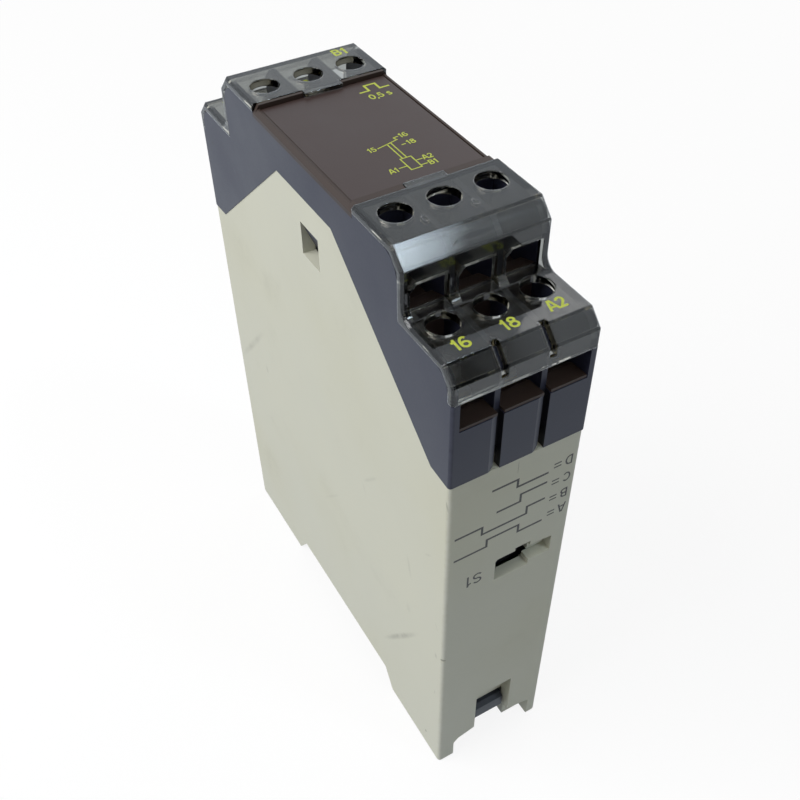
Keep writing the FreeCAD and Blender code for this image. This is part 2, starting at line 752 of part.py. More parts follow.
def upper_housing():
    """Slate terminal head: two stepped side plates, cross walls, dividers, end fingers and snap tongues."""
    body = new_body("upper_housing")
    profile = new_sketch(body, "YZ_Plane")
    near_half = [
        (-half_length, seam_end_z),
        (-half_length, skirt_z - S.seat_gap),
        (-brow_in_y, skirt_z - S.seat_gap),
        (-brow_in_y, step_under_z),
        (-shoulder_in_y, step_under_z),
        (-shoulder_in_y, cover_under_z),
        (-front_y, cover_under_z),
        (-front_y, frame_seat_z),
    ]
    far_half = [(-y, z) for y, z in reversed(near_half)]
    seam = [
        (seam_kink_y, seam_kink_z),
        (seam_top_y, seam_top_z),
        (-seam_top_y, seam_top_z),
        (-seam_kink_y, seam_kink_z),
    ]
    draw_loop(profile, near_half + far_half + seam)
    pad(body, profile, S.width, both=True)

    # The plates' corners follow the covers' bent shoulders
    dress(body, "Fillet", lambda end: near(abs(end.y), shoulder_in_y) and near(end.z, cover_under_z), S.shoulder_round)
    dress(body, "Fillet", lambda end: near(abs(end.y), brow_in_y) and near(end.z, step_under_z), S.brow_round)

    def end_corner(edge):
        ends = [vertex.Point for vertex in edge.Vertexes]
        outside = all(near(abs(end.y), half_length) and near(abs(end.x), half_width) for end in ends)
        return outside and near(ends[0].x, ends[-1].x)

    dress_edges(body, "Fillet", end_corner, S.head_round)

    # Everything between the plates comes out, but for the fingers and the two cross walls
    inside = new_sketch(body, "YZ_Plane")
    for side in (-1, 1):
        draw_loop(inside, [
            (side * finger_back_y, S.floor_wall),
            (side * finger_back_y, finger_z),
            (side * beyond, finger_z),
            (side * beyond, beyond * 2),
            (side * cross_out_y, beyond * 2),
            (side * cross_out_y, S.floor_wall),
        ])
    draw_box(inside, -cross_in_y, cross_in_y, S.floor_wall, beyond * 2)
    cut(body, inside, plate_in_x * 2, both=True)

    # Gaps between the fingers
    gaps = new_sketch(body, "XZ_Plane")
    for side in (-1, 1):
        middle = side * divider_x
        draw_box(gaps, middle - S.finger_gap / 2, middle + S.finger_gap / 2, S.floor_wall, finger_z + 1)
    cut(body, gaps, both=True)
    half_gap = S.finger_gap / 2
    bevelled = (-divider_x - half_gap, divider_x - half_gap)

    def lower_corner(edge):
        ends = [vertex.Point for vertex in edge.Vertexes]
        turn = 1 if ends[0].y < 0 else -1
        low = all(end.z < (seam_end_z + S.seam_kink_rise).value for end in ends)
        return low and any(all(near(end.x * turn, place) for end in ends) for place in bevelled)

    # One lower corner of two fingers is rounded, and the same edge has a long shallow bevel
    dress_edges(body, "Fillet", lower_corner, S.finger_round)
    bevels = new_sketch(body, "XY_Plane", finger_z + 1)
    bevel_slope = S.finger_bevel_depth / S.finger_bevel
    for turn in (1, -1):
        for place in bevelled:
            start_x = place - S.finger_bevel
            end_x = place + half_gap
            draw_loop(bevels, [
                (turn * start_x, -turn * half_length),
                (turn * start_x, -turn * (half_length + 1)),
                (turn * end_x, -turn * (half_length + 1)),
                (turn * end_x, -turn * (half_length - (S.finger_bevel + half_gap) * bevel_slope)),
            ])
    cut(body, bevels, finger_z - seam_end_z + 2)

    # Webs behind the fingers, and the dividers between neighbouring terminals
    web = new_sketch(body, "YZ_Plane")
    draw_box(web, -finger_back_y - S.seat_gap, -finger_back_y + S.web_depth, web_z, web_z + S.web_wall)
    draw_box(web, finger_back_y - S.web_depth, finger_back_y + S.seat_gap, web_z, web_z + S.web_wall)
    pad(body, web, plate_in_x * 2 + S.seat_gap, both=True)
    gap = S.seat_gap
    for place in (-1, 1):
        walls = new_sketch(body, "YZ_Plane", place * divider_x - S.divider_wall / 2)
        for side in (-1, 1):
            draw_loop(walls, [
                (side * (front_y + gap), cover_under_z - gap),
                (side * (shoulder_in_y - shoulder_in_chamfer), cover_under_z - gap),
                (side * (shoulder_in_y - gap), cover_under_z - shoulder_in_chamfer),
                (side * (shoulder_in_y - gap), step_under_z - gap),
                (side * (brow_in_y - brow_in_chamfer), step_under_z - gap),
                (side * (brow_in_y - gap), step_under_z - brow_in_chamfer),
                (side * (brow_in_y - gap), web_z + gap),
                (side * divider_back_y, web_z + gap),
                (side * divider_back_y, divider_upper_z),
                (side * (front_y + gap), divider_upper_z),
            ])
        pad(body, walls, S.divider_wall)

    # Low tongues under the covers' tabs
    tongues = new_sketch(body, "XY_Plane", frame_seat_z - S.frame_wall)
    for side in (-1, 1):
        limits = sorted((side * (cross_in_y + gap), side * front_y), key=lambda size: size.value)
        draw_box(tongues, -S.tab_width / 2 + gap, S.tab_width / 2 - gap, *limits)
    pad(body, tongues, S.frame_flange + S.frame_wall - gap)

    # Snap tongues that reach down inside the case and catch in its windows
    tongue_out = inner_x - S.fit_gap * 1.5
    tongue_in = tongue_out - S.snap_tongue
    nose_out = case_top_x - S.snap_tongue / 2
    half_side = S.snap_window_side / 2 - S.fit_gap * 2
    low_z = snap_window_z - half_side
    high_z = snap_window_z + half_side
    ledge_z = seam_top_z + S.latch_gap
    snaps = new_sketch(body, "XZ_Plane", -(S.snap_window_y + half_side))
    for side in (-1, 1):
        draw_loop(snaps, [
            (side * (plate_in_x + gap), ledge_z),
            (side * tongue_out, ledge_z),
            (side * tongue_out, high_z),
            (side * nose_out, high_z),
            (side * nose_out, high_z - S.snap_tongue),
            (side * tongue_out, low_z),
            (side * tongue_in, low_z - S.snap_tongue),
            (side * tongue_in, ledge_z + S.snap_tongue),
            (side * (plate_in_x + gap), ledge_z + S.snap_tongue),
        ])
    pad(body, snaps, half_side * 2)


def terminal_cover(label, turn):
    """Clear bent cover over one end's terminals, with driver holes, cable windows and two slits."""
    body = new_body(label)
    end_y = front_y + S.seat_gap * 1.4
    sheet_line = new_sketch(body, "YZ_Plane")
    draw_loop(sheet_line, [
        (-end_y, S.height),
        (-shoulder_y + S.shoulder_chamfer, S.height),
        (-shoulder_y, S.height - S.shoulder_chamfer),
        (-shoulder_y, step_z),
        (-half_length + S.brow_chamfer, step_z),
        (-half_length, step_z - S.brow_chamfer),
        (-half_length, skirt_z),
        (-brow_in_y, skirt_z),
        (-brow_in_y, step_under_z - brow_in_chamfer),
        (-brow_in_y + brow_in_chamfer, step_under_z),
        (-shoulder_in_y, step_under_z),
        (-shoulder_in_y, cover_under_z - shoulder_in_chamfer),
        (-shoulder_in_y + shoulder_in_chamfer, cover_under_z),
        (-end_y, cover_under_z),
    ])
    pad(body, sheet_line, S.width, both=True)

    # The step's inner corner is rounded, then one soft edge runs along each side of the sheet
    dress(body, "Fillet", lambda end: near(end.y, -shoulder_y) and near(end.z, step_z), S.step_round)
    inner_line = [
        (brow_in_y, skirt_z),
        (brow_in_y, step_under_z - brow_in_chamfer),
        (brow_in_y - brow_in_chamfer, step_under_z),
        (shoulder_in_y, step_under_z),
        (shoulder_in_y, cover_under_z - shoulder_in_chamfer),
        (shoulder_in_y - shoulder_in_chamfer, cover_under_z),
        (end_y, cover_under_z),
    ]

    def outer_line(end):
        inside = any(near(end.y, -y) and near(end.z, z) for y, z in inner_line)
        return near(abs(end.x), half_width) and not inside

    def along_side(edge):
        ends = [vertex.Point for vertex in edge.Vertexes]
        return all(outer_line(end) for end in ends) and near(ends[0].x, ends[-1].x)

    dress_edges(body, "Chamfer", along_side, S.sheet_edge)

    # Tab that reaches over the front frame
    tab = new_sketch(body, "XY_Plane", S.height)
    draw_box(tab, -S.tab_width / 2, S.tab_width / 2, -end_y - S.seat_gap, -end_y + S.tab_length)
    pad(body, tab, S.tab_thickness, back=True)

    # Driver holes over both rows
    holes = new_sketch(body, "XY_Plane", S.height + 1)
    for column in (-1, 0, 1):
        for row_y in (upper_screw_y, lower_screw_y):
            draw_circle(holes, column * terminal_pitch, -row_y, S.driver_hole)
    cut(body, holes)

    # Cable windows of the upper row, each with one clipped corner
    low_z = step_z + S.seat_gap * 3
    high_z = low_z + S.window_height
    windows = new_sketch(body, "XZ_Plane", shoulder_y + S.step_round)
    for column in (-1, 0, 1):
        middle = column * terminal_pitch
        left = middle - window_width / 2
        right = middle + window_width / 2
        draw_loop(windows, [
            (left, low_z),
            (right, low_z),
            (right, high_z),
            (left + S.window_chamfer, high_z),
            (left, high_z - S.window_chamfer),
        ])
    cut(body, windows, S.cover_thickness * 2 + S.step_round)

    # Slits over the dividers
    slits = new_sketch(body, "XY_Plane", step_z + 1)
    for side in (-1, 1):
        middle = side * divider_x
        draw_box(
            slits,
            middle - S.slit_width / 2,
            middle + S.slit_width / 2,
            -half_length - 1,
            -half_length + S.slit_length,
        )
    cut(body, slits, S.slit_depth + 1)
    body.Placement = FreeCAD.Placement(Vector(0, 0, 0), FreeCAD.Rotation(Vector(0, 0, 1), turn))


def front_frame():
    """Brown frame let into the head between the covers, with a recess for the printed plate."""
    body = new_body("front_frame")
    top_z = S.height - S.frame_drop
    flange = new_sketch(body, "XY_Plane", frame_seat_z)
    end_y = front_y - S.seat_gap
    draw_box(flange, -half_width, half_width, -end_y, end_y)
    pad(body, flange, S.frame_flange)
    dress(body, "Chamfer", lambda end: near(abs(end.x), half_width) and near(end.z, top_z), S.frame_bevel)
    skirt_x = plate_in_x - S.fit_gap * 1.5
    skirt_y = cross_in_y - S.fit_gap * 1.5
    skirt = new_sketch(body, "XY_Plane", frame_seat_z)
    draw_box(skirt, -skirt_x, skirt_x, -skirt_y, skirt_y)
    pad(body, skirt, S.frame_skirt, back=True)
    under = new_sketch(body, "XY_Plane", frame_seat_z - S.frame_skirt)
    wall = S.frame_wall
    draw_box(under, wall - skirt_x, skirt_x - wall, wall - skirt_y, skirt_y - wall)
    cut(body, under, S.frame_skirt - S.fit_gap * 2, back=True)
    recess = new_sketch(body, "XY_Plane", top_z)
    draw_box(recess, -plate_x - S.fit_gap, plate_x + S.fit_gap, plate_near_y - S.fit_gap, plate_far_y + S.fit_gap)
    cut(body, recess, S.plate_thickness + S.plate_drop)
    notches = new_sketch(body, "XY_Plane", top_z)
    notch_x = S.tab_width / 2 + S.fit_gap
    draw_box(notches, -notch_x, notch_x, -front_y, plate_near_y - S.fit_gap)
    draw_box(notches, -notch_x, notch_x, plate_far_y + S.fit_gap, front_y)
    cut(body, notches, S.frame_flange)


def label_plate():
    """Thin plate that carries the front print."""
    body = new_body("label_plate")
    top_z = S.height - S.frame_drop - S.plate_drop
    face = new_sketch(body, "XY_Plane", top_z)
    draw_box(face, -plate_x, plate_x, plate_near_y, plate_far_y)
    pad(body, face, S.plate_thickness, back=True)
    dress(body, "Chamfer", lambda end: near(end.z, top_z), S.plate_thickness / 5)


def terminal_block(label, turn):
    """Brown stepped moulding behind one end's fingers: cable funnels, bar seats and screw wells for two rows."""
    body = new_body(label)
    lower_seat = lower_bar_z - S.bar_thickness
    upper_seat = upper_bar_z - S.bar_thickness
    face_y = finger_back_y - S.fit_gap * 1.5
    bottom_z = web_z + S.web_wall + S.fit_gap * 2
    lip_y = half_length - S.fit_gap
    lip_z = finger_z + S.seat_gap
    back_y = cross_out_y + S.fit_gap
    funnel_y = lower_screw_y + S.bar_length / 2 + S.fit_gap * 2
    upper_funnel_y = upper_screw_y + S.bar_length / 2 + S.fit_gap
    under_z = upper_seat - S.block_wall
    face = [
        (-face_y, bottom_z),
        (-face_y, lip_z),
        (-lip_y, lip_z),
        (-lip_y, lip_z + S.lip_wall / 2),
        (-finger_back_y + S.lip_wall * 2, lip_z + S.lip_wall / 4),
        (-funnel_y, lower_bar_z - S.fit_gap),
        (-funnel_y, lower_seat),
        (-riser_y, lower_seat),
        (-riser_y, step_z + S.fit_gap),
        (-upper_funnel_y, upper_bar_z + S.fit_gap),
        (-upper_funnel_y, upper_seat),
        (-back_y, upper_seat),
    ]
    core = new_sketch(body, "YZ_Plane")
    draw_loop(core, face + [
        (-back_y, under_z),
        (-riser_y + S.cross_wall, under_z),
        (-riser_y + S.cross_wall, bottom_z),
    ])
    pad(body, core, (inner_x - S.fit_gap) * 2, both=True)
    reach = (bottom_z - seam_kink_z) / seam_slope
    wide = new_sketch(body, "YZ_Plane")
    draw_loop(wide, face + [
        (-back_y, seam_z(back_y) + S.fit_gap * 3),
        (-seam_kink_y + reach - S.fit_gap * 4, bottom_z),
    ])
    pad(body, wide, (plate_in_x - S.fit_gap) * 2, both=True)

    # Slots that the head's dividers stand in
    slot_half = S.divider_wall / 2 + S.fit_gap
    lower_slots = new_sketch(body, "XY_Plane", finger_z + S.lip_wall * 2)
    upper_slots = new_sketch(body, "XY_Plane", divider_upper_z - S.fit_gap)
    for side in (-1, 1):
        middle = side * divider_x
        draw_box(lower_slots, middle - slot_half, middle + slot_half, -half_length - 1, -riser_y)
        draw_box(upper_slots, middle - slot_half, middle + slot_half, -half_length - 1, -back_y + 1)
    cut(body, lower_slots)
    cut(body, upper_slots, back=True)

    # Wells for the screw tips and slots for the bars' tails
    for row_y, seat, tail_y in (
        (lower_screw_y, lower_seat, lower_screw_y - S.bar_length / 2 + S.tail_thickness / 2),
        (upper_screw_y, upper_seat, upper_screw_y - S.bar_length / 2 + S.tail_thickness / 2 + S.upper_bar_trim),
    ):
        wells = new_sketch(body, "XY_Plane", seat)
        tails = new_sketch(body, "XY_Plane", seat)
        well_half = S.screw_shank / 2 + S.fit_gap * 3
        tail_half = S.tail_width / 2 + S.fit_gap * 1.5
        tail_deep = S.tail_thickness / 2 + S.fit_gap * 1.5
        for column in (-1, 0, 1):
            middle = column * terminal_pitch
            draw_box(wells, middle - well_half, middle + well_half, -row_y - well_half, -row_y + well_half)
            draw_box(tails, middle - tail_half, middle + tail_half, -tail_y - tail_deep, -tail_y + tail_deep)
        cut(body, wells, S.block_wall - S.fit_gap * 5)
        cut(body, tails)
    body.Placement = FreeCAD.Placement(Vector(0, 0, 0), FreeCAD.Rotation(Vector(0, 0, 1), turn))


# Wired terminals: number, column across the width, end (near is -1, far is 1) and row
TERMINALS = [
    ("16", -1, -1, "lower"),
    ("18", 0, -1, "lower"),
    ("a2", 1, -1, "lower"),
    ("15", -1, 1, "lower"),
    ("a1", 1, 1, "lower"),
    ("b1", 1, 1, "upper"),
]


def terminal_place(column, end, row):
    """Place of a terminal's screw axis on the top of its bar."""
    row_y = lower_screw_y if row == "lower" else upper_screw_y
    row_z = lower_bar_z if row == "lower" else upper_bar_z
    return column * terminal_pitch, end * row_y, row_z


def put(body, x, y, z, turn=0):
    """Place a body, turned about the upright axis, with its place bound to the sheet."""
    body.Placement = FreeCAD.Placement(Vector(0, 0, 0), FreeCAD.Rotation(Vector(0, 0, 1), turn))
    for axis, size in zip("xyz", (x, y, z)):
        body.setExpression(f"Placement.Base.{axis}", as_size(size).text)


def terminal(number, column, end, row):
    """One screw terminal: bent contact bar, clamp plate and slotted screw, standing on the bar's top."""
    x, y, z = terminal_place(column, end, row)
    turn = 0 if end < 0 else 180
    back = S.bar_length / 2 - (0 if row == "lower" else S.upper_bar_trim)

    bar = new_body(f"contact_bar_{number}")
    top = new_sketch(bar, "XY_Plane")
    draw_box(top, -bar_width / 2, bar_width / 2, -S.bar_length / 2, back)
    pad(bar, top, S.bar_thickness, back=True)
    tail = new_sketch(bar, "XY_Plane")
    draw_box(tail, -S.tail_width / 2, S.tail_width / 2, back - S.tail_thickness, back)
    pad(bar, tail, S.bar_thickness + S.tail_drop, back=True)
    thread = new_sketch(bar, "XY_Plane")
    draw_circle(thread, 0, 0, S.screw_shank + S.thread_gap * 2)
    cut(bar, thread)
    put(bar, x, y, z, turn)

    clamp = new_body(f"clamp_plate_{number}")
    square = new_sketch(clamp, "XY_Plane", S.seat_gap)
    half_side = bar_width / 2
    draw_box(square, -half_side, half_side, -half_side, half_side)
    pad(clamp, square, S.clamp_thickness)
    hole = new_sketch(clamp, "XY_Plane", S.seat_gap + S.clamp_thickness)
    draw_circle(hole, 0, 0, S.screw_shank + S.thread_gap * 2)
    cut(clamp, hole)
    put(clamp, x, y, z, turn)

    screw = new_body(f"terminal_screw_{number}")
    seat = S.clamp_thickness + S.seat_gap * 2
    shank = S.screw_shank / 2
    head = S.screw_head / 2
    half = new_sketch(screw, "XZ_Plane")
    draw_loop(half, [
        (0, seat + S.screw_head_height),
        (head, seat + S.screw_head_height),
        (head, seat),
        (shank, seat),
        (shank, seat - S.screw_length),
        (0, seat - S.screw_length),
    ])
    revolve(screw, half)
    slot = new_sketch(screw, "XY_Plane", seat + S.screw_head_height)
    draw_box(slot, -head, head, -S.screw_slot / 2, S.screw_slot / 2)
    cut(screw, slot, S.screw_slot_depth)
    put(screw, x, y, z, turn)


def circuit_board():
    """Upright circuit board against one side wall, notched at the near end for the selector."""
    body = new_body("circuit_board")
    gap = S.fit_gap
    end_y = inner_y - gap
    notch_y = selector_face_y - S.selector_depth - gap
    outline = new_sketch(body, "YZ_Plane", board_face_x)
    draw_loop(outline, [
        (-end_y, board_low_z),
        (end_y, board_low_z),
        (end_y, board_top_z),
        (-end_y, board_top_z),
        (-end_y, selector_high_z + gap),
        (-notch_y, selector_high_z + gap),
        (-notch_y, selector_low_z - gap),
        (-end_y, selector_low_z - gap),
    ])
    pad(body, outline, S.board_thickness)


def on_board(body, along, up):
    """Stand a body on the board's face, at a share of the half length and of the board's height.

    The body's X then runs along the length and its Z away from the board.
    """
    turn = FreeCAD.Rotation(Vector(0, 1, 0), Vector(0, 0, -1), Vector(-1, 0, 0), "XYZ")
    body.Placement = FreeCAD.Placement(Vector(0, 0, 0), turn)
    y = half_length * along
    z = board_low_z + (board_top_z - board_low_z) * up
    for axis, size in zip("xyz", (board_face_x, y, z)):
        body.setExpression(f"Placement.Base.{axis}", size.text)


def board_block(label, place, length, breadth, height):
    """Moulded component body on the board, with bevelled top edges."""
    body = new_body(label)
    outline = new_sketch(body, "XY_Plane")
    draw_box(outline, -length / 2, length / 2, -breadth / 2, breadth / 2)
    pad(body, outline, height)
    dress(body, "Chamfer", lambda end: near(end.z, height), S.moulding_bevel)
    on_board(body, *place)


def board_components():
    """Supply and timing components on the board's component face."""
    tall = relay_height - S.relay_base
    board_block("dropper_capacitor", (-0.3, 0.82), S.dropper_length, S.dropper_breadth, tall)
    board_block("timer_chip", (-0.35, 0.42), S.chip_length, S.chip_breadth, S.chip_height)

    can = new_body("smoothing_capacitor")
    half = new_sketch(can, "XZ_Plane")
    radius = S.can_diameter / 2
    draw_box(half, 0, radius, 0, tall)
    revolve(can, half)
    on_board(can, 0.125, 0.82)

    transistor = new_body("driver_transistor")
    outline = new_sketch(transistor, "XY_Plane", S.transistor_lift)
    side = S.transistor_width / 2
    back = S.transistor_depth * 0.4
    front = S.transistor_depth * 0.6
    draw_loop(outline, [
        (-side, -back),
        (side, -back),
        (side, back / 3),
        (side / 2, front),
        (-side / 2, front),
        (-side, back / 3),
    ])
    pad(transistor, outline, S.transistor_width)
    legs = new_sketch(transistor, "XY_Plane")
    leg = S.axial_lead / 2
    for place in (-1, 0, 1):
        middle = place * side * 0.55
        draw_box(legs, middle - leg, middle + leg, -leg, leg)
    pad(transistor, legs, S.transistor_lift + S.fit_gap)
    on_board(transistor, -0.025, 0.64)


def new_box(label, length, breadth, height):
    """A plain block with its three sides bound to the sheet."""
    block = doc.addObject("Part::Box", label)
    for side, size in (("Length", length), ("Width", breadth), ("Height", height)):
        block.setExpression(side, as_size(size).text)
    return block


def axial_row(label, places, diameter, length):
    """A row of like two-lead components, each an eight-sided barrel on two bent leads standing on the board."""
    pieces = []
    lead = S.axial_lead
    lift = diameter / 2 + S.fit_gap * 2
    span = length + S.axial_reach * 2
    for index, place in enumerate(places):
        barrel = doc.addObject("Part::Prism", f"{label}_barrel_{index}")
        barrel.Polygon = 8
        barrel.setExpression("Circumradius", (diameter / 2).text)
        barrel.setExpression("Height", length.text)
        barrel.Placement = FreeCAD.Placement(Vector(0, 0, 0), FreeCAD.Rotation(Vector(0, 1, 0), 90))
        barrel.setExpression("Placement.Base.x", (-length / 2).text)
        barrel.setExpression("Placement.Base.z", lift.text)
        legs = []
        for side in (-1, 1):
            wire = new_box(f"{label}_wire", S.axial_reach + lead, lead, lead)
            wire.setExpression("Placement.Base.x", (side * (span + length) / 4 - (S.axial_reach + lead) / 2).text)
            wire.setExpression("Placement.Base.y", (-lead / 2).text)
            wire.setExpression("Placement.Base.z", (lift - lead / 2).text)
            leg = new_box(f"{label}_leg", lead, lead, lift)
            leg.setExpression("Placement.Base.x", (side * span / 2 - lead / 2).text)
            leg.setExpression("Placement.Base.y", (-lead / 2).text)
            legs += [wire, leg]
        whole = doc.addObject("Part::MultiFuse", f"{label}_{index}")
        whole.Shapes = [barrel] + legs
        on_board(whole, *place)
        pieces.append(whole)
    group = doc.addObject("Part::Compound", label)
    group.Label = label
    group.Links = pieces
    sub_parts.append(group)


def terminal_leads():
    """Flat punched leads from the contact bars' tails down and across to the board."""
    pieces = []
    radius = S.lead_side / 2
    for number, column, end, row in TERMINALS:
        x, y, z = terminal_place(column, end, row)
        back = S.bar_length / 2 - (0 if row == "lower" else S.upper_bar_trim)
        tail_y = y - end * (back - S.tail_thickness / 2)
        top_z = z - S.bar_thickness - S.tail_drop
        lead_x = x if column < 1 else board_face_x - radius - S.fit_gap * 2
        level = 2 - column + (1 if row == "upper" else 0)
        low_z = board_top_z - S.lead_step * level
        down = new_box(f"lead_down_{number}", S.lead_side, S.lead_side, top_z - low_z)
        across = new_box(f"lead_across_{number}", board_face_x - lead_x + radius, S.lead_side, S.lead_side)
        for piece in (down, across):
            for axis, size in zip("xyz", (lead_x - radius, tail_y - radius, low_z)):
                piece.setExpression(f"Placement.Base.{axis}", as_size(size).text)
        lead = doc.addObject("Part::MultiFuse", f"lead_{number}")
        lead.Shapes = [down, across]
        pieces.append(lead)
    group = doc.addObject("Part::Compound", "terminal_leads")
    group.Label = "terminal_leads"
    group.Links = pieces
    sub_parts.append(group)


def small_relay():
    """Hinged-armature relay on the board: base, yoke, core, bobbin, coil, armature, contacts and dust cover."""
    gap = S.fit_gap
    long_half = S.relay_length / 2 - S.relay_skin - gap
    broad_half = S.relay_breadth / 2 - S.relay_skin - gap

    base = new_body("relay_base")
    outline = new_sketch(base, "XY_Plane")
    draw_box(outline, -long_half, long_half, -broad_half, broad_half)
    pad(base, outline, S.relay_base)
    post = S.contact_post / 2
    posts = new_sketch(base, "XY_Plane", S.relay_base)
    for side in (-1, 1):
        middle = side * contact_side
        draw_box(posts, contact_left - gap, contact_right + gap, middle - post - gap, middle + post + gap)
    cut(base, posts)

    yoke = new_body("relay_yoke")
    side_line = new_sketch(yoke, "XZ_Plane")
    draw_loop(side_line, [
        (-yoke_in + S.relay_base, S.relay_base),
        (yoke_in + S.yoke_thickness, S.relay_base),
        (yoke_in + S.yoke_thickness, hinge_height - gap),
        (yoke_in, hinge_height - gap),
        (yoke_in, yoke_top),
        (-yoke_in + S.relay_base, yoke_top),
    ])
    pad(yoke, side_line, S.yoke_width, both=True)
    rivet = new_sketch(yoke, "XY_Plane", yoke_top)
    draw_circle(rivet, 0, 0, S.core_diameter + S.seat_gap * 2)
    cut(yoke, rivet)

    core = new_body("relay_core")
    half = new_sketch(core, "XZ_Plane")
    draw_loop(half, [
        (0, S.relay_base),
        (S.core_diameter / 2, S.relay_base),
        (S.core_diameter / 2, coil_top),
        (S.pole_diameter / 2, coil_top),
        (S.pole_diameter / 2, pole_top),
        (0, pole_top),
    ])
    revolve(core, half)

    bobbin = new_body("relay_bobbin")
    bore = S.core_diameter + S.seat_gap * 2
    barrel = S.bobbin_barrel / 2
    rim = S.bobbin_flange / 2
    spool = new_sketch(bobbin, "XY_Plane", yoke_top)
    draw_circle(spool, 0, 0, S.bobbin_barrel)
    pad(bobbin, spool, coil_top - yoke_top)
    for level in (yoke_top, coil_top - S.bobbin_flange_wall):
        flange = new_sketch(bobbin, "XY_Plane", level)
        draw_box(flange, -rim, rim, -rim, rim)
        pad(bobbin, flange, S.bobbin_flange_wall)
    core_way = new_sketch(bobbin, "XY_Plane", coil_top)
    draw_circle(core_way, 0, 0, bore)
    cut(bobbin, core_way)

    coil = new_body("relay_coil")
    winding = new_sketch(coil, "XZ_Plane")
    draw_box(
        winding,
        barrel + S.seat_gap,
        S.coil_diameter / 2,
        yoke_top + S.bobbin_flange_wall + S.seat_gap,
        coil_top - S.bobbin_flange_wall - S.seat_gap,
    )
    revolve(coil, winding)

    # Armature and its contact strip are drawn closed, then tipped open about the yoke's edge
    armature = new_body("relay_armature")
    plate = new_sketch(armature, "XY_Plane", hinge_height)
    arm_half = S.yoke_width * 0.4
    draw_box(plate, -S.pole_diameter * 0.6, hinge_along + gap * 4, -arm_half, arm_half)
    pad(armature, plate, S.armature_thickness)

    strip = new_body("contact_spring")
    strip_low = hinge_height + S.armature_thickness
    leaf = new_sketch(strip, "XY_Plane", strip_low)
    tip = S.contact_reach + S.contact_face / 2
    draw_box(leaf, -tip, hinge_along - S.contact_face, -S.contact_face * 0.9, S.contact_face * 0.9)
    pad(strip, leaf, S.spring_leaf)
    button = new_sketch(strip, "XY_Plane", strip_low - S.contact_rise)
    draw_circle(button, -S.contact_reach, 0, S.contact_face)
    pad(strip, button, S.contact_rise * 2 + S.spring_leaf)

    # Fixed contacts: the make contact lies below the moving one, the break contact above it
    contact_lift = (S.contact_reach + hinge_along) * tangent(S.armature_angle)
    make_face = strip_low - S.contact_rise - S.seat_gap
    make = new_body("make_contact")
    fixed_contact(make, -1, make_face - S.contact_rise - S.contact_strip, make_face - S.contact_rise, make_face)
    break_face = strip_low + S.spring_leaf + S.contact_rise + contact_lift + S.seat_gap * 2
    rest = new_body("break_contact")
    fixed_contact(rest, 1, break_face + S.contact_rise, break_face + S.contact_rise + S.contact_strip, break_face)

    back_spring = new_body("return_spring")
    spring_line = new_sketch(back_spring, "XZ_Plane")
    outer = yoke_in + S.yoke_thickness + gap
    crest = strip_low + S.spring_leaf * 3 + gap
    draw_loop(spring_line, [
        (outer, coil_top / 2),
        (outer + S.spring_leaf, coil_top / 2),
        (outer + S.spring_leaf, crest),
        (hinge_along - S.contact_face * 0.8, crest),
        (hinge_along - S.contact_face * 0.8, crest - S.spring_leaf),
        (outer, crest - S.spring_leaf),
    ])
    pad(back_spring, spring_line, S.contact_face, both=True)

    cover = new_body("relay_cover")
    shell = new_sketch(cover, "XY_Plane")
    outer_long = S.relay_length / 2
    outer_broad = S.relay_breadth / 2
    draw_box(shell, -outer_long, outer_long, -outer_broad, outer_broad)
    pad(cover, shell, relay_height)
    dress(cover, "Chamfer", lambda end: near(end.z, relay_height), S.relay_skin / 2)
    hollow = new_sketch(cover, "XY_Plane")
    skin = S.relay_skin
    draw_box(hollow, -outer_long + skin, outer_long - skin, -outer_broad + skin, outer_broad - skin)
    cut(cover, hollow, relay_height - skin, back=True)

    for body in (base, yoke, core, bobbin, coil, armature, strip, make, rest, back_spring, cover):
        on_board(body, 0.35, 0.44)
    for body in (armature, strip):
        hinge = Vector(hinge_along.value, 0, hinge_height.value)
        tip_open = FreeCAD.Rotation(Vector(0, 1, 0), S.armature_angle.value)
        doc.recompute()
        body.Placement = body.Placement * FreeCAD.Placement(Vector(0, 0, 0), tip_open, hinge)
        for axis in "xyz":
            body.setExpression(f"Placement.Base.{axis}", None)


def fixed_contact(body, side, arm_low, arm_high, face):
    """Upright post from the base with an arm across to the moving contact and a round contact face."""
    middle = side * contact_side
    half = S.contact_post / 2
    post = new_sketch(body, "XY_Plane")
    draw_box(post, contact_left, contact_right, middle - half, middle + half)
    pad(body, post, arm_high)
    arm = new_sketch(body, "XY_Plane", arm_low)
    reach = -side * S.contact_face / 2
    limits = sorted((middle, reach), key=lambda size: size.value)
    draw_box(arm, contact_left, contact_right, *limits)
    pad(body, arm, S.contact_strip)
    button = new_sketch(body, "XY_Plane", face)
    draw_circle(button, -S.contact_reach, 0, S.contact_face)
    pad(body, button, S.contact_rise, back=side < 0)


base_case()
upper_housing()
terminal_cover("near_terminal_cover", 0)
terminal_cover("far_terminal_cover", 180)
front_frame()
label_plate()
terminal_block("near_terminal_block", 0)
terminal_block("far_terminal_block", 180)
for entry in TERMINALS:
    terminal(*entry)
rail_latch()
latch_spring()
selector()
circuit_board()
board_components()
axial_row(
    "resistors",
    [(-0.6, 0.13), (-0.6, 0.21), (-0.6, 0.29), (-0.02, 0.21)],
    S.resistor_diameter,
    S.resistor_length,
)
axial_row(
    "diodes",
    [(-0.32, 0.13), (-0.32, 0.21), (0.75, 0.35), (0.75, 0.43)],
    S.diode_diameter,
    S.diode_length,
)
terminal_leads()
small_relay()

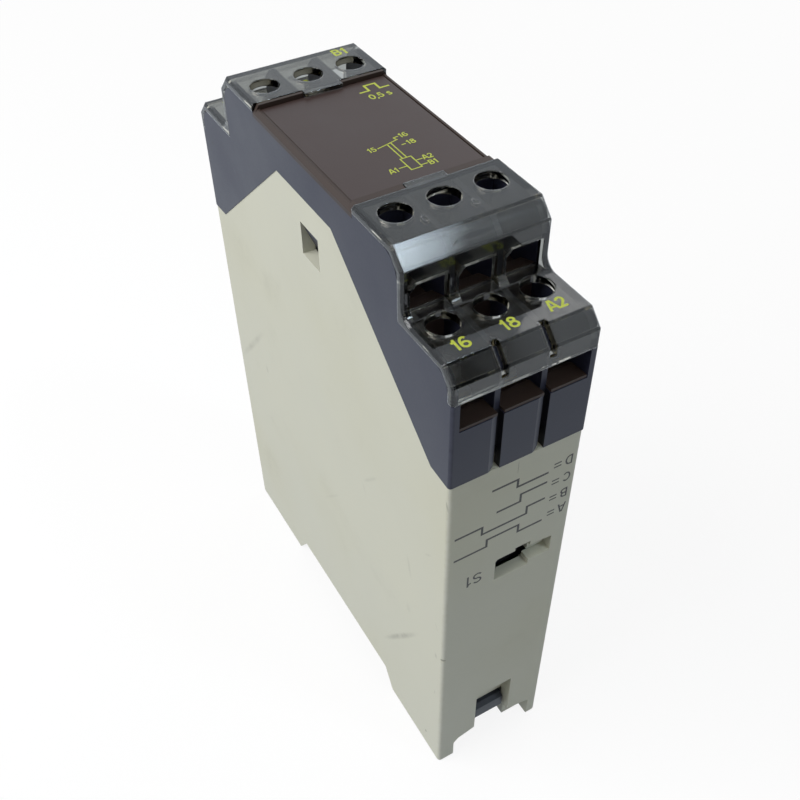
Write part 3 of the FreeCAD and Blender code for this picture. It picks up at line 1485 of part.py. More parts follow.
doc.recompute()
faults = [
    (item.Label, item.getStatusString())
    for item in doc.Objects
    if "Invalid" in item.State or "Error" in item.State
]
if faults:
    raise RuntimeError(f"failed objects: {faults}")
os.makedirs("parts", exist_ok=True)
for item in sub_parts:
    if item.Shape.isNull() or not item.Shape.isValid():
        raise RuntimeError(f"bad shape: {item.Label}")
for item in sub_parts:
    item.Shape.exportStep(f"parts/{item.Label}.step")
print(len(sub_parts), "sub-parts written")
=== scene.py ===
"""Looks of the pulse relay: finishes of its parts, printed marks, and small wound and soldered detail."""

import math

import bmesh
import bpy
from mathutils import Matrix, Vector


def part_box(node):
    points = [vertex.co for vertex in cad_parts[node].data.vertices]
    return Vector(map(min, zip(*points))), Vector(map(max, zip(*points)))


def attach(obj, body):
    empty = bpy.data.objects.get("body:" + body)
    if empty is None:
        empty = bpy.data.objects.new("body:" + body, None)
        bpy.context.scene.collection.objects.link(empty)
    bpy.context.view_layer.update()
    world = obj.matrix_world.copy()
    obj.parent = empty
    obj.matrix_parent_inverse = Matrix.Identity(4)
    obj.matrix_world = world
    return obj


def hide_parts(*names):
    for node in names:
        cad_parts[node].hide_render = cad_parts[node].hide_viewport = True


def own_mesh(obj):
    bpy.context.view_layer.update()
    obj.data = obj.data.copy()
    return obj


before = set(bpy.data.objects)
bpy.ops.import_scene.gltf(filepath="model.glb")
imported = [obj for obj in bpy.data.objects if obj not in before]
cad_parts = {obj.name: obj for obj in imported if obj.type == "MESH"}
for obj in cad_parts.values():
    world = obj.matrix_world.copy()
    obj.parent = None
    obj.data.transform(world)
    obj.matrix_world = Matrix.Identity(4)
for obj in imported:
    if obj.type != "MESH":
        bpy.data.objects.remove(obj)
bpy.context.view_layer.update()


# Light case
# The lower half of the housing is one deep injection moulding in light grey plastic.
# Its skin is fine-grained, a little blotched by age and marked by handling; its vertical corners are lighter,
# partly rubbed wear and partly a painted edge highlight.
MM = 0.001


def paint(red, green, blue):
    """A colour as read from a colour picker, in the linear form that shaders take."""
    parts = []
    for level in (red, green, blue):
        share = level / 255
        parts.append(share / 12.92 if share <= 0.04045 else ((share + 0.055) / 1.055) ** 2.4)
    return (*parts, 1.0)


def add_node(tree, kind, feeds=None, **settings):
    """One node with its settings made and its inputs set to a value or linked to another node's output."""
    node = tree.nodes.new(kind)
    for name, value in settings.items():
        setattr(node, name, value)
    for name, value in (feeds or {}).items():
        if isinstance(value, bpy.types.NodeSocket):
            tree.links.new(value, node.inputs[name])
        else:
            node.inputs[name].default_value = value
    return node


def calc(tree, work, *values):
    """One sum on numbers or node outputs."""
    return add_node(tree, "ShaderNodeMath", dict(enumerate(values)), operation=work).outputs[0]


def fade(tree, value, start, end, low=0.0, high=1.0):
    """A smooth step from low to high while a value goes from start to end."""
    feeds = {"Value": value, "From Min": start, "From Max": end, "To Min": low, "To Max": high}
    return add_node(tree, "ShaderNodeMapRange", feeds, interpolation_type="SMOOTHSTEP").outputs[0]


def blend_colour(tree, share, first, second):
    """Two colours mixed by a share that varies over the surface."""
    return add_node(tree, "ShaderNodeMix", {0: share, 6: first, 7: second}, data_type="RGBA").outputs[2]


def place_on(tree):
    """The place of a spot on the part, in the part's own frame."""
    return add_node(tree, "ShaderNodeTexCoord").outputs["Object"]


def split_place(tree):
    """The same place as its three numbers: across, along and up."""
    return add_node(tree, "ShaderNodeSeparateXYZ", {0: place_on(tree)}).outputs


def noise(tree, place, scale, detail, **more):
    """A cloudy number over a place, one half on average."""
    feeds = {"Vector": place, "Scale": scale, "Detail": detail, **more}
    return add_node(tree, "ShaderNodeTexNoise", feeds).outputs["Fac"]


def new_group(name, takes, gives):
    """A shader group with its named inputs and outputs, ready to be filled."""
    group = bpy.data.node_groups.new(name, "ShaderNodeTree")
    for label, kind, value in takes:
        socket = group.interface.new_socket(label, in_out="INPUT", socket_type=kind)
        socket.default_value = value
    for label, kind in gives:
        group.interface.new_socket(label, in_out="OUTPUT", socket_type=kind)
    entry = group.nodes.new("NodeGroupInput").outputs
    end = group.nodes.new("NodeGroupOutput").inputs
    return group, entry, end


NUMBER = "NodeSocketFloat"
COLOUR = "NodeSocketColor"

moulded_skin, entry, end = new_group(
    "moulded_skin",
    [
        ("Colour", COLOUR, (0.5, 0.5, 0.5, 1.0)),
        ("Gloss", NUMBER, 0.45),
        ("Patch Size", NUMBER, 0.012),
        ("Patch Tone", NUMBER, 0.08),
        ("Grain Size", NUMBER, 0.0004),
    ],
    [("Colour", COLOUR), ("Roughness", NUMBER), ("Height", NUMBER)],
)
place = place_on(moulded_skin)
patch = noise(moulded_skin, place, calc(moulded_skin, "DIVIDE", 1.0, entry["Patch Size"]), 4.0)
grain = noise(moulded_skin, place, calc(moulded_skin, "DIVIDE", 1.0, entry["Grain Size"]), 2.0)
both = calc(moulded_skin, "MULTIPLY_ADD", grain, 0.35, calc(moulded_skin, "SUBTRACT", patch, 0.675))
tone = calc(moulded_skin, "MULTIPLY_ADD", both, calc(moulded_skin, "MULTIPLY", entry["Patch Tone"], 2.0), 1.0)
shaded = add_node(moulded_skin, "ShaderNodeHueSaturation", {"Color": entry["Colour"], "Value": tone})
moulded_skin.links.new(shaded.outputs["Color"], end["Colour"])
rough = calc(moulded_skin, "MULTIPLY_ADD", both, 0.22, entry["Gloss"])
moulded_skin.links.new(rough, end["Roughness"])
moulded_skin.links.new(grain, end["Height"])


# A mask along a box's vertical corners, for corners that are lighter from rubbed wear and a painted edge
# highlight.
edge_rub_and_highlight, entry, end = new_group(
    "edge_rub_and_highlight",
    [("Half Width", NUMBER, 0.01), ("Half Length", NUMBER, 0.04), ("Band", NUMBER, 0.0008)],
    [("Mask", NUMBER)],
)
place = place_on(edge_rub_and_highlight)
split = add_node(edge_rub_and_highlight, "ShaderNodeSeparateXYZ", {0: place}).outputs
across = calc(edge_rub_and_highlight, "SUBTRACT", entry["Half Width"], calc(edge_rub_and_highlight, "ABSOLUTE", split[0]))
along = calc(edge_rub_and_highlight, "SUBTRACT", entry["Half Length"], calc(edge_rub_and_highlight, "ABSOLUTE", split[1]))
from_edge = calc(edge_rub_and_highlight, "DIVIDE", calc(edge_rub_and_highlight, "MAXIMUM", across, along), entry["Band"])
reach = calc(edge_rub_and_highlight, "MULTIPLY_ADD", noise(edge_rub_and_highlight, place, 900.0, 3.0), 1.4, 0.1)
edge_rub_and_highlight.links.new(fade(edge_rub_and_highlight, from_edge, reach, 0.0), end["Mask"])


def new_finish(name, **plain):
    """A material with one shader. Values that are the same all over go on the shader's own sockets."""
    finish = bpy.data.materials.new(name)
    finish.use_nodes = True
    tree = finish.node_tree
    shader = tree.nodes["Principled BSDF"]
    for socket, value in plain.items():
        shader.inputs[socket.replace("_", " ")].default_value = value
    return finish, tree, shader


def grained(tree, shader, colour, gloss, patch=12 * MM, tone=0.08, grain=0.4 * MM, depth=0.006 * MM):
    """Give a shader the moulded skin. Returns the skin and its bump, so that marks can be laid over them."""
    feeds = {"Colour": colour, "Gloss": gloss, "Patch Size": patch, "Patch Tone": tone, "Grain Size": grain}
    skin = add_node(tree, "ShaderNodeGroup", feeds, node_tree=moulded_skin)
    bump = add_node(tree, "ShaderNodeBump", {"Height": skin.outputs["Height"], "Distance": depth})
    tree.links.new(skin.outputs["Colour"], shader.inputs["Base Color"])
    tree.links.new(skin.outputs["Roughness"], shader.inputs["Roughness"])
    tree.links.new(bump.outputs["Normal"], shader.inputs["Normal"])
    return skin, bump


def moulded(name, colour, gloss, **looks):
    """A plain moulded plastic."""
    skin_looks = {key: looks.pop(key) for key in ("patch", "tone", "grain", "depth") if key in looks}
    finish, tree, shader = new_finish(name, **looks)
    grained(tree, shader, colour, gloss, **skin_looks)
    return finish


def dress(finish, *nodes):
    """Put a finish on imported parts."""
    for node in nodes:
        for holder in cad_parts[node].material_slots:
            holder.material = finish


def blot(tree, centre, radii, turn=(0, 0, 0), soft=0.5):
    """A mark of oval form at one place on a piece: 1 in its middle, 0 outside."""
    feeds = {
        "Vector": place_on(tree),
        "Location": [size * MM for size in centre],
        "Rotation": turn,
        "Scale": [size * MM for size in radii],
    }
    local = add_node(tree, "ShaderNodeMapping", feeds, vector_type="TEXTURE").outputs[0]
    far = add_node(tree, "ShaderNodeVectorMath", {0: local}, operation="LENGTH").outputs["Value"]
    return fade(tree, far, 1.0, soft)


case_grey = paint(210, 210, 193)
case_rubbed_and_lit = paint(224, 225, 214)
case_yellowed = paint(200, 198, 172)
case_soil = paint(140, 139, 124)
light_case, tree, shader = new_finish("light_case", IOR=1.5, Specular_IOR_Level=0.4)
skin, bump = grained(tree, shader, case_grey, 0.46, patch=22 * MM, tone=0.05, grain=0.35 * MM)
place = place_on(tree)
yellow = fade(tree, noise(tree, place, 28.0, 3.0), 0.4, 0.75, 0.0, 0.35)
aged = blend_colour(tree, yellow, skin.outputs["Colour"], case_yellowed)
# Lighter vertical corners: partly rubbed wear, partly a painted edge highlight.
rub_and_highlight = add_node(
    tree,
    "ShaderNodeGroup",
    {"Half Width": 11.15 * MM, "Half Length": 39.9 * MM, "Band": 0.9 * MM},
    node_tree=edge_rub_and_highlight,
)
rubbed = blend_colour(tree, calc(tree, "MULTIPLY", rub_and_highlight.outputs["Mask"], 0.7), aged, case_rubbed_and_lit)
soil = fade(tree, noise(tree, place, 55.0, 6.0, Roughness=0.7), 0.55, 0.8, 0.0, 0.12)
patchy = fade(tree, noise(tree, place, 420.0, 4.0), 0.3, 0.62, 0.45, 1.0)

# Smears, stains and scuffs on the left side: both ends of each on the wall, its half breadth and strength
left_wall = -11.16
smears = None
for start, finish, breadth, strength in (
    ((-18.8, 14.7), (-32.7, 35.0), 0.8, 0.55),
    ((39.7, 42.9), (22.9, 62.0), 1.0, 0.3),
    ((25.2, 49.8), (25.2, 51.0), 0.8, 0.22),
    ((-28.9, 37.4), (-28.9, 38.7), 1.0, 0.16),
    ((-28.6, 53.0), (-29.8, 47.1), 0.6, 0.16),
    ((-33.7, 58.6), (-36.0, 60.7), 0.35, 0.2),
    ((-13.8, 55.8), (-19.9, 62.6), 0.5, 0.18),
    ((-13.8, 55.8), (-15.0, 53.4), 0.4, 0.18),
    ((3.3, 34.3), (-4.8, 43.1), 0.5, 0.14),
    ((-38.3, 43.1), (-37.3, 44.8), 0.16, 0.6),
    ((-37.9, 34.9), (-37.9, 35.9), 0.5, 0.35),
    ((-37.8, 22.8), (-37.9, 24.0), 0.25, 0.35),
    ((-39.2, 77.2), (-39.7, 74.4), 0.22, 0.6),
):
    run = (finish[0] - start[0], finish[1] - start[1])
    middle = (left_wall, (start[0] + finish[0]) / 2, (start[1] + finish[1]) / 2)
    radii = (1.0, math.hypot(*run) / 2 + breadth, breadth)
    smear = blot(tree, middle, radii, turn=(math.atan2(run[1], run[0]), 0, 0), soft=0.1)
    smear = calc(tree, "MULTIPLY", smear, strength)
    smears = smear if smears is None else calc(tree, "MAXIMUM", smears, smear)
soil = calc(tree, "MAXIMUM", soil, calc(tree, "MULTIPLY", smears, patchy))

# Small pits, a nick in the edge of the selector slot and a hairline below the head
pits = None
for centre, radii in (
    ((-11.15, -20.1, 3.8), (0.6, 0.4, 0.4)),
    ((-11.15, -35.2, 4.7), (0.6, 0.3, 0.5)),
    ((-11.15, -39.7, 36.3), (0.9, 0.55, 0.35)),
    ((1.0, -39.92, 53.4), (0.5, 0.6, 0.14)),
    ((0.18, -39.92, 77.8), (0.06, 0.6, 1.7)),
):
    pit = blot(tree, centre, radii)
    pits = pit if pits is None else calc(tree, "MAXIMUM", pits, pit)
soil = calc(tree, "MAXIMUM", soil, calc(tree, "MULTIPLY", pits, 0.75))
tree.links.new(blend_colour(tree, soil, rubbed, case_soil), shader.inputs["Base Color"])
sunk = calc(tree, "SUBTRACT", skin.outputs["Height"], calc(tree, "MULTIPLY", pits, 9.0))
tree.links.new(sunk, bump.inputs["Height"])
dress(light_case, "base_case")


# Marks printed on the case end
# Four setting letters with their pulse signs and the switch's number are printed in dark grey ink.
# They stand on their heads, because the relay is set before it is hung on its rail.
INK_THICKNESS = 0.012 * MM


def arc(middle, radii, start, stop, steps=12):
    """Points along part of an oval, from one angle to another in degrees."""
    turns = [math.radians(start + (stop - start) * k / steps) for k in range(steps + 1)]
    return [(middle[0] + radii[0] * math.cos(turn), middle[1] + radii[1] * math.sin(turn)) for turn in turns]


# Each letter has its width and its strokes, for a height of one
LETTERS = {
    " ": (0.3, []),
    ",": (0.26, [[(0.15, 0.1), (0.08, -0.16)]]),
    "0": (0.7, [arc((0.35, 0.5), (0.24, 0.42), 0, 360, 24)]),
    "1": (0.5, [[(0.08, 0.72), (0.22, 0.77), (0.3, 0.88), (0.32, 1.0)], [(0.31, 1.0), (0.31, 0.0)]]),
    "2": (0.66, [arc((0.32, 0.69), (0.22, 0.23), 170, -35) + [(0.1, 0.08), (0.56, 0.08)]]),
    "5": (0.66, [[(0.54, 0.92), (0.18, 0.92), (0.13, 0.5)] + arc((0.32, 0.34), (0.23, 0.26), 130, -155, 16)]),
    "6": (0.74, [
        arc((0.37, 0.31), (0.26, 0.23), 0, 360, 24),
        arc((0.41, 0.42), (0.3, 0.5), 55, 180) + [(0.11, 0.31)],
    ]),
    "8": (0.74, [arc((0.37, 0.74), (0.2, 0.18), 0, 360, 20), arc((0.37, 0.3), (0.26, 0.23), 0, 360, 24)]),
    "A": (0.76, [[(0.06, 0.0), (0.34, 1.0)], [(0.7, 0.0), (0.42, 1.0)], [(0.17, 0.3), (0.59, 0.3)]]),
    "B": (0.72, [
        [(0.14, 0.0), (0.14, 1.0)],
        [(0.14, 0.92), (0.38, 0.92)] + arc((0.38, 0.725), (0.19, 0.195), 90, -90) + [(0.14, 0.53)],
        [(0.38, 0.53)] + arc((0.4, 0.305), (0.22, 0.225), 90, -90) + [(0.14, 0.08)],
    ]),
    "C": (0.76, [arc((0.4, 0.5), (0.3, 0.42), 42, 318, 20)]),
    "D": (0.76, [
        [(0.14, 0.0), (0.14, 1.0)],
        [(0.14, 0.92)] + arc((0.34, 0.5), (0.3, 0.42), 90, -90, 16) + [(0.14, 0.08)],
    ]),
    "S": (0.72, [
        arc((0.36, 0.715), (0.24, 0.205), 25, 270, 16) + arc((0.36, 0.295), (0.26, 0.215), 90, -155, 16)[1:],
    ]),
    "s": (0.56, [arc((0.28, 0.51), (0.17, 0.14), 25, 270) + arc((0.28, 0.22), (0.19, 0.15), 90, -155)[1:]]),
}


def print_line(sheet, points, width, across, up):
    """A line of even width through points on a face, mitred at its corners; it closes where its ends meet."""
    out = Vector(across).cross(Vector(up))
    points = [Vector(point) for point in points]
    closed = (points[0] - points[-1]).length < width / 20
    if closed:
        points.pop()
    count = len(points)
    lift = out * INK_THICKNESS / 2
    rows = []
    for k, point in enumerate(points):
        after = points[(k + 1) % count] - point if closed or k + 1 < count else point - points[k - 1]
        before = point - points[k - 1] if closed or k else after
        sides = [out.cross(run.normalized()) for run in (before, after)]
        reach = (sides[0] + sides[1]) / (1 + sides[0].dot(sides[1])) * width / 2
        corners = (point - reach - lift, point + reach - lift, point + reach + lift, point - reach + lift)
        rows.append([sheet.verts.new(corner) for corner in corners])
    for k in range(count if closed else count - 1):
        row, following = rows[k], rows[(k + 1) % count]
        for side in range(4):
            edge = (side + 1) % 4
            sheet.faces.new((row[side], row[edge], following[edge], following[side]))
    if not closed:
        sheet.faces.new(rows[0])
        sheet.faces.new(rows[-1])


def print_words(sheet, words, height, pen, centre, across, up):
    """Letters of a given height, drawn with a pen of even width, flat on a face and centred on a point."""
    across, up = Vector(across), Vector(up)
    layer = across.cross(up) * INK_THICKNESS / 3
    cursor = -sum(LETTERS[letter][0] for letter in words) / 2
    for letter in words:
        width, strokes = LETTERS[letter]
        for k, stroke in enumerate(strokes):
            start = Vector(centre) + layer * k
            points = [start + (across * (cursor + x) + up * (y - 0.5)) * height for x, y in stroke]
            print_line(sheet, points, pen, across, up)
        cursor += width


def keep_piece(sheet, name, finish):
    """Close a mesh as one piece on the case, with its normals outward and its finish on."""
    bmesh.ops.recalc_face_normals(sheet, faces=sheet.faces)
    mesh = bpy.data.meshes.new(name)
    sheet.to_mesh(mesh)
    sheet.free()
    mesh.materials.append(finish)
    piece = bpy.data.objects.new(name, mesh)
    bpy.context.scene.collection.objects.link(piece)
    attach(piece, "case")
    return piece


def printing_ink(name, colour):
    """Pad-printed ink: matt, slightly speckled and thin in places."""
    return moulded(name, colour, 0.55, patch=0.9 * MM, tone=0.22, grain=0.12 * MM, depth=0.003 * MM)


dark_ink = printing_ink("dark_ink", paint(70, 69, 66))
letter_height, letter_pen = 2.0 * MM, 0.28 * MM
bar_pen, wave_pen = 0.26 * MM, 0.4 * MM
end_face = -39.92 * MM
reading = ((-1, 0, 0), (0, 0, -1))
sheet = bmesh.new()
# Each letter has its height on the case and its sign's corners, across and up or down
signs = {
    "D": (74.35, ((5.8, 1), (0.4, 1), (0.4, -1), (-4.0, -1))),
    "C": (70.7, ((5.8, -1), (1.2, -1), (1.2, 1), (-2.9, 1))),
    "B": (67.1, ((5.8, -1), (2.6, -1), (2.6, 1), (-5.2, 1), (-5.2, -1), (-9.9, -1))),
    "A": (63.6, ((5.8, 1), (1.4, 1), (1.4, -1), (-4.2, -1), (-4.2, 1), (-9.9, 1))),
}
for letter, (height, corners) in signs.items():
    print_words(sheet, letter, letter_height, letter_pen, (9.35 * MM, end_face, height * MM), *reading)
    for rise in (-0.35, 0.35):
        bar = [(x * MM, end_face, (height + rise) * MM) for x in (8.0, 6.7)]
        print_line(sheet, bar, bar_pen, *reading)
    wave = [(x * MM, end_face, (height - 0.8 * level) * MM) for x, level in corners]
    print_line(sheet, wave, wave_pen, *reading)
print_words(sheet, "S1", 2.6 * MM, 0.32 * MM, (-6.05 * MM, end_face, 55.85 * MM), *reading)
keep_piece(sheet, "case_end_print", dark_ink)


# Rail latch and its spring
# A slate plastic slide in the foot snaps behind the mounting rail; a screwdriver in its window draws it out.
# A flat steel spring, bent in a wave, pushes it back home.
slate_latch = moulded("slate_latch", paint(47, 51, 58), 0.5, patch=6 * MM, tone=0.1, grain=0.3 * MM)
dress(slate_latch, "rail_latch")

drawn_metal, entry, end = new_group(
    "drawn_metal",
    [
        ("Colour", COLOUR, (0.5, 0.5, 0.5, 1.0)),
        ("Tarnish", COLOUR, (0.3, 0.3, 0.3, 1.0)),
        ("Tarnish Amount", NUMBER, 0.3),
        ("Roughness", NUMBER, 0.3),
    ],
    [("Colour", COLOUR), ("Roughness", NUMBER), ("Height", NUMBER)],
)
place = place_on(drawn_metal)
stretch = add_node(drawn_metal, "ShaderNodeMapping", {"Vector": place, "Scale": (1.0, 0.06, 1.0)}).outputs[0]
lines = noise(drawn_metal, stretch, 5200.0, 2.0)
cloud = fade(drawn_metal, noise(drawn_metal, place, 420.0, 5.0), 0.45, 0.75)
stain = calc(drawn_metal, "MULTIPLY", cloud, entry["Tarnish Amount"])
drawn_metal.links.new(blend_colour(drawn_metal, stain, entry["Colour"], entry["Tarnish"]), end["Colour"])
uneven = calc(drawn_metal, "MULTIPLY_ADD", lines, 0.16, calc(drawn_metal, "MULTIPLY", stain, 0.3))
drawn_metal.links.new(calc(drawn_metal, "ADD", uneven, entry["Roughness"]), end["Roughness"])
drawn_metal.links.new(lines, end["Height"])


def metal(name, colour, tarnish, amount, rough, **plain):
    """A bare or plated metal with drawing lines and some tarnish."""
    finish, tree, shader = new_finish(name, Metallic=1.0, **plain)
    feeds = {"Colour": colour, "Tarnish": tarnish, "Tarnish Amount": amount, "Roughness": rough}
    skin = add_node(tree, "ShaderNodeGroup", feeds, node_tree=drawn_metal)
    bump = add_node(tree, "ShaderNodeBump", {"Height": skin.outputs["Height"], "Distance": 0.003 * MM})
    tree.links.new(skin.outputs["Colour"], shader.inputs["Base Color"])
    tree.links.new(skin.outputs["Roughness"], shader.inputs["Roughness"])
    tree.links.new(bump.outputs["Normal"], shader.inputs["Normal"])
    return finish


spring_steel = metal("spring_steel", paint(176, 178, 182), paint(96, 92, 90), 0.4, 0.28)
dress(spring_steel, "latch_spring")
sheet = bmesh.new()
sheet.from_mesh(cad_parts["latch_spring"].data)
bmesh.ops.remove_doubles(sheet, verts=sheet.verts, dist=0.001 * MM)
wave_spring = keep_piece(sheet, "wave_spring", spring_steel)
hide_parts("latch_spring")
low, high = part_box("latch_spring")
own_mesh(wave_spring)


# Circuit board with its soldered joints
# A glass-fibre board, green from its solder mask, carries the supply, the timer and the small relay.
# Each pin goes through it and ends in a solder cone on the back, next to the case wall.
circuit_green, tree, shader = new_finish("circuit_green", IOR=1.5, Coat_Weight=0.3)
skin, bump = grained(tree, shader, paint(38, 92, 58), 0.36, patch=5 * MM, tone=0.1, grain=0.25 * MM)
upright = {"Vector": place_on(tree), "Rotation": (0.0, math.pi / 2, 0.0)}
turned = add_node(tree, "ShaderNodeMapping", upright).outputs[0]
tracks = add_node(
    tree,
    "ShaderNodeTexBrick",
    {
        "Vector": turned,
        "Color1": (0.0, 0.0, 0.0, 1.0),
        "Color2": (0.0, 0.0, 0.0, 1.0),
        "Mortar": (1.0, 1.0, 1.0, 1.0),
        "Scale": 42.0,
        "Mortar Size": 0.035,
        "Brick Width": 0.42,
        "Row Height": 0.11,
    },
    offset=0.37,
).outputs["Color"]
tree.links.new(
    blend_colour(tree, calc(tree, "MULTIPLY", tracks, 0.55), skin.outputs["Colour"], paint(104, 142, 74)),
    shader.inputs["Base Color"],
)
tree.links.new(calc(tree, "MULTIPLY_ADD", tracks, 2.5, skin.outputs["Height"]), bump.inputs["Height"])
dress(circuit_green, "circuit_board")

tinned_copper = metal("tinned_copper", paint(196, 194, 188), paint(150, 132, 112), 0.35, 0.3)
dress(tinned_copper, "terminal_leads")


def new_tree(name, takes):
    """A geometry tree with its named sizes; it ends by making its copies real and giving them a material."""
    tree = bpy.data.node_groups.new(name, "GeometryNodeTree")
    for label, kind, value in takes:
        socket = tree.interface.new_socket(label, in_out="INPUT", socket_type=kind)
        if value is not None:
            socket.default_value = value
    tree.interface.new_socket("Geometry", in_out="OUTPUT", socket_type="NodeSocketGeometry")
    entry = tree.nodes.new("NodeGroupInput").outputs
    real = tree.nodes.new("GeometryNodeRealizeInstances")
    coat = add_node(tree, "GeometryNodeSetMaterial", {0: real.outputs[0], "Material": entry["Material"]})
    tree.links.new(coat.outputs[0], tree.nodes.new("NodeGroupOutput").inputs[0])
    return tree, entry, real.inputs[0]


def grow(tree, name, body, sizes, place=Matrix.Identity(4), start=None):
    """Run a geometry tree with its sizes and keep the result as one plain mesh that rides on a body."""
    holder = bpy.data.objects.new(name, start or bpy.data.meshes.new(name))
    bpy.context.scene.collection.objects.link(holder)
    maker = holder.modifiers.new("maker", "NODES")
    maker.node_group = tree
    for socket in tree.interface.items_tree:
        if socket.in_out == "INPUT" and socket.name in sizes:
            maker[socket.identifier] = sizes[socket.name]
    bpy.context.view_layer.update()
    made = bpy.data.meshes.new_from_object(holder.evaluated_get(bpy.context.evaluated_depsgraph_get()))
    holder.modifiers.remove(maker)
    made.transform(place)
    holder.data = made
    made.name = name
    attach(holder, body)
    return holder


COUNT = "NodeSocketInt"
MATERIAL = "NodeSocketMaterial"

solder_cones, entry, end = new_tree(
    "solder_cones",
    [
        ("Points", "NodeSocketGeometry", None),
        ("Foot Radius", NUMBER, 0.0008),
        ("Height", NUMBER, 0.0004),
        ("Material", MATERIAL, None),
    ],
)
cone = add_node(
    solder_cones,
    "GeometryNodeMeshCone",
    {
        "Vertices": 10,
        "Side Segments": 2,
        "Radius Top": 0.00022,
        "Radius Bottom": entry["Foot Radius"],
        "Depth": entry["Height"],
    },
)
dotted = add_node(
    solder_cones,
    "GeometryNodeInstanceOnPoints",
    {"Points": entry["Points"], "Instance": cone.outputs["Mesh"], "Rotation": (0.0, math.pi / 2, 0.0)},
)
solder_cones.links.new(dotted.outputs[0], end)

board_back = 8.45 * MM
chip_middle = (-14.0, 44.1)
chip_pins = 7
pin_pitch = 2.54
half_row = 3.81
resistor_half_span = 4.75
diode_half_span = 3.8
pins = []
for k in range(chip_pins):
    y = chip_middle[0] + (k - (chip_pins - 1) / 2) * pin_pitch
    pins += [(y, chip_middle[1] + side * half_row) for side in (-1, 1)]
resistor_places = ((-24.0, 28.15), (-24.0, 32.55), (-24.0, 36.95), (-0.8, 32.55))
diode_places = ((-12.8, 28.15), (-12.8, 32.55), (30.0, 40.25), (30.0, 44.65))
pins += [(y + side * resistor_half_span, z) for y, z in resistor_places for side in (-1, 1)]
pins += [(y + side * diode_half_span, z) for y, z in diode_places for side in (-1, 1)]

# Pins of the film capacitor, the can, the transistor and the small relay
pins += [(-19.5, 66.1), (-4.5, 66.1), (5.0, 63.6), (5.0, 68.6), (-2.3, 55.9), (-1.0, 55.9), (0.3, 55.9)]
pins += [(5.8, 41.0), (5.8, 49.5), (14.0, 39.0), (14.0, 51.4), (22.0, 45.2)]
cone_height = 0.4 * MM
dots = bpy.data.meshes.new("pin_points")
dots.from_pydata([(board_back + cone_height / 2, y * MM, z * MM) for y, z in pins], [], [])
solder = metal("solder", paint(186, 188, 190), paint(140, 136, 128), 0.3, 0.22)
joints = grow(
    solder_cones,
    "solder_joints",
    "case",
    {"Foot Radius": 0.75 * MM, "Height": cone_height, "Material": solder},
    start=dots,
)


# Components on the board
# A moulded film capacitor drops the supply voltage, a sleeved can smooths it, and a chip counts the time.
# Resistors and diodes lie on bent leads; the transistor stands on its three legs.
film_case = moulded("film_case", paint(176, 120, 42), 0.3, patch=3 * MM, tone=0.07, Coat_Weight=0.35)
dress(film_case, "dropper_capacitor")

can_sleeve, tree, shader = new_finish("can_sleeve", IOR=1.52, Coat_Weight=0.25)
skin = grained(tree, shader, paint(36, 52, 92), 0.32, patch=4 * MM, tone=0.08)[0]
across, along, rise = split_place(tree)
can_axis_z = 66.1 * MM
stripe = fade(tree, calc(tree, "ABSOLUTE", calc(tree, "SUBTRACT", rise, can_axis_z)), 1.5 * MM, 1.35 * MM)
one_side = calc(tree, "MULTIPLY", stripe, fade(tree, along, 5.2 * MM, 5.4 * MM))
bare_end = fade(tree, across, -6.7 * MM, -6.8 * MM)
stripe_share = calc(tree, "MULTIPLY", one_side, 0.85)
sleeve = blend_colour(tree, stripe_share, skin.outputs["Colour"], paint(188, 192, 200))
tree.links.new(blend_colour(tree, bare_end, sleeve, paint(190, 190, 192)), shader.inputs["Base Color"])
tree.links.new(bare_end, shader.inputs["Metallic"])
dress(can_sleeve, "smoothing_capacitor")

black_plastic = moulded("black_plastic", paint(30, 30, 32), 0.5, patch=3 * MM, tone=0.2, grain=0.2 * MM)
dress(black_plastic, "timer_chip", "driver_transistor", "relay_base")

leg_rows, entry, end = new_tree(
    "leg_rows",
    [
        ("Legs", COUNT, 7),
        ("Pitch", NUMBER, 0.00254),
        ("Row Offset", NUMBER, 0.0038),
        ("Leg Width", NUMBER, 0.0012),
        ("Leg Height", NUMBER, 0.0018),
        ("Sheet", NUMBER, 0.00025),
        ("Material", MATERIAL, None),
    ],
)


def vector_of(tree, *parts):
    """Three numbers or outputs as one vector."""
    return add_node(tree, "ShaderNodeCombineXYZ", dict(enumerate(parts))).outputs[0]


def moved_box(tree, size, shift):
    """A box of a size, moved from the middle by a shift."""
    box = add_node(tree, "GeometryNodeMeshCube", {"Size": vector_of(tree, *size)}).outputs[0]
    return add_node(tree, "GeometryNodeTransform", {0: box, "Translation": vector_of(tree, *shift)})


chip_side = 3.2 * MM
reach = calc(leg_rows, "SUBTRACT", entry["Row Offset"], chip_side)
half_height = calc(leg_rows, "MULTIPLY", entry["Leg Height"], 0.5)
half_reach = calc(leg_rows, "MULTIPLY", reach, 0.5)
foot = moved_box(
    leg_rows,
    (entry["Leg Height"], entry["Leg Width"], entry["Sheet"]),
    (half_height, 0.0, entry["Row Offset"]),
)
shelf = moved_box(
    leg_rows,
    (entry["Sheet"], entry["Leg Width"], reach),
    (0.0, 0.0, calc(leg_rows, "SUBTRACT", entry["Row Offset"], half_reach)),
)
leg = leg_rows.nodes.new("GeometryNodeJoinGeometry")
leg_rows.links.new(foot.outputs[0], leg.inputs[0])
leg_rows.links.new(shelf.outputs[0], leg.inputs[0])
spread = calc(leg_rows, "MULTIPLY", calc(leg_rows, "SUBTRACT", entry["Legs"], 1.0), -0.5)
line = add_node(
    leg_rows,
    "GeometryNodeMeshLine",
    {
        "Count": entry["Legs"],
        "Start Location": vector_of(leg_rows, 0.0, calc(leg_rows, "MULTIPLY", spread, entry["Pitch"]), 0.0),
        "Offset": vector_of(leg_rows, 0.0, entry["Pitch"], 0.0),
    },
)
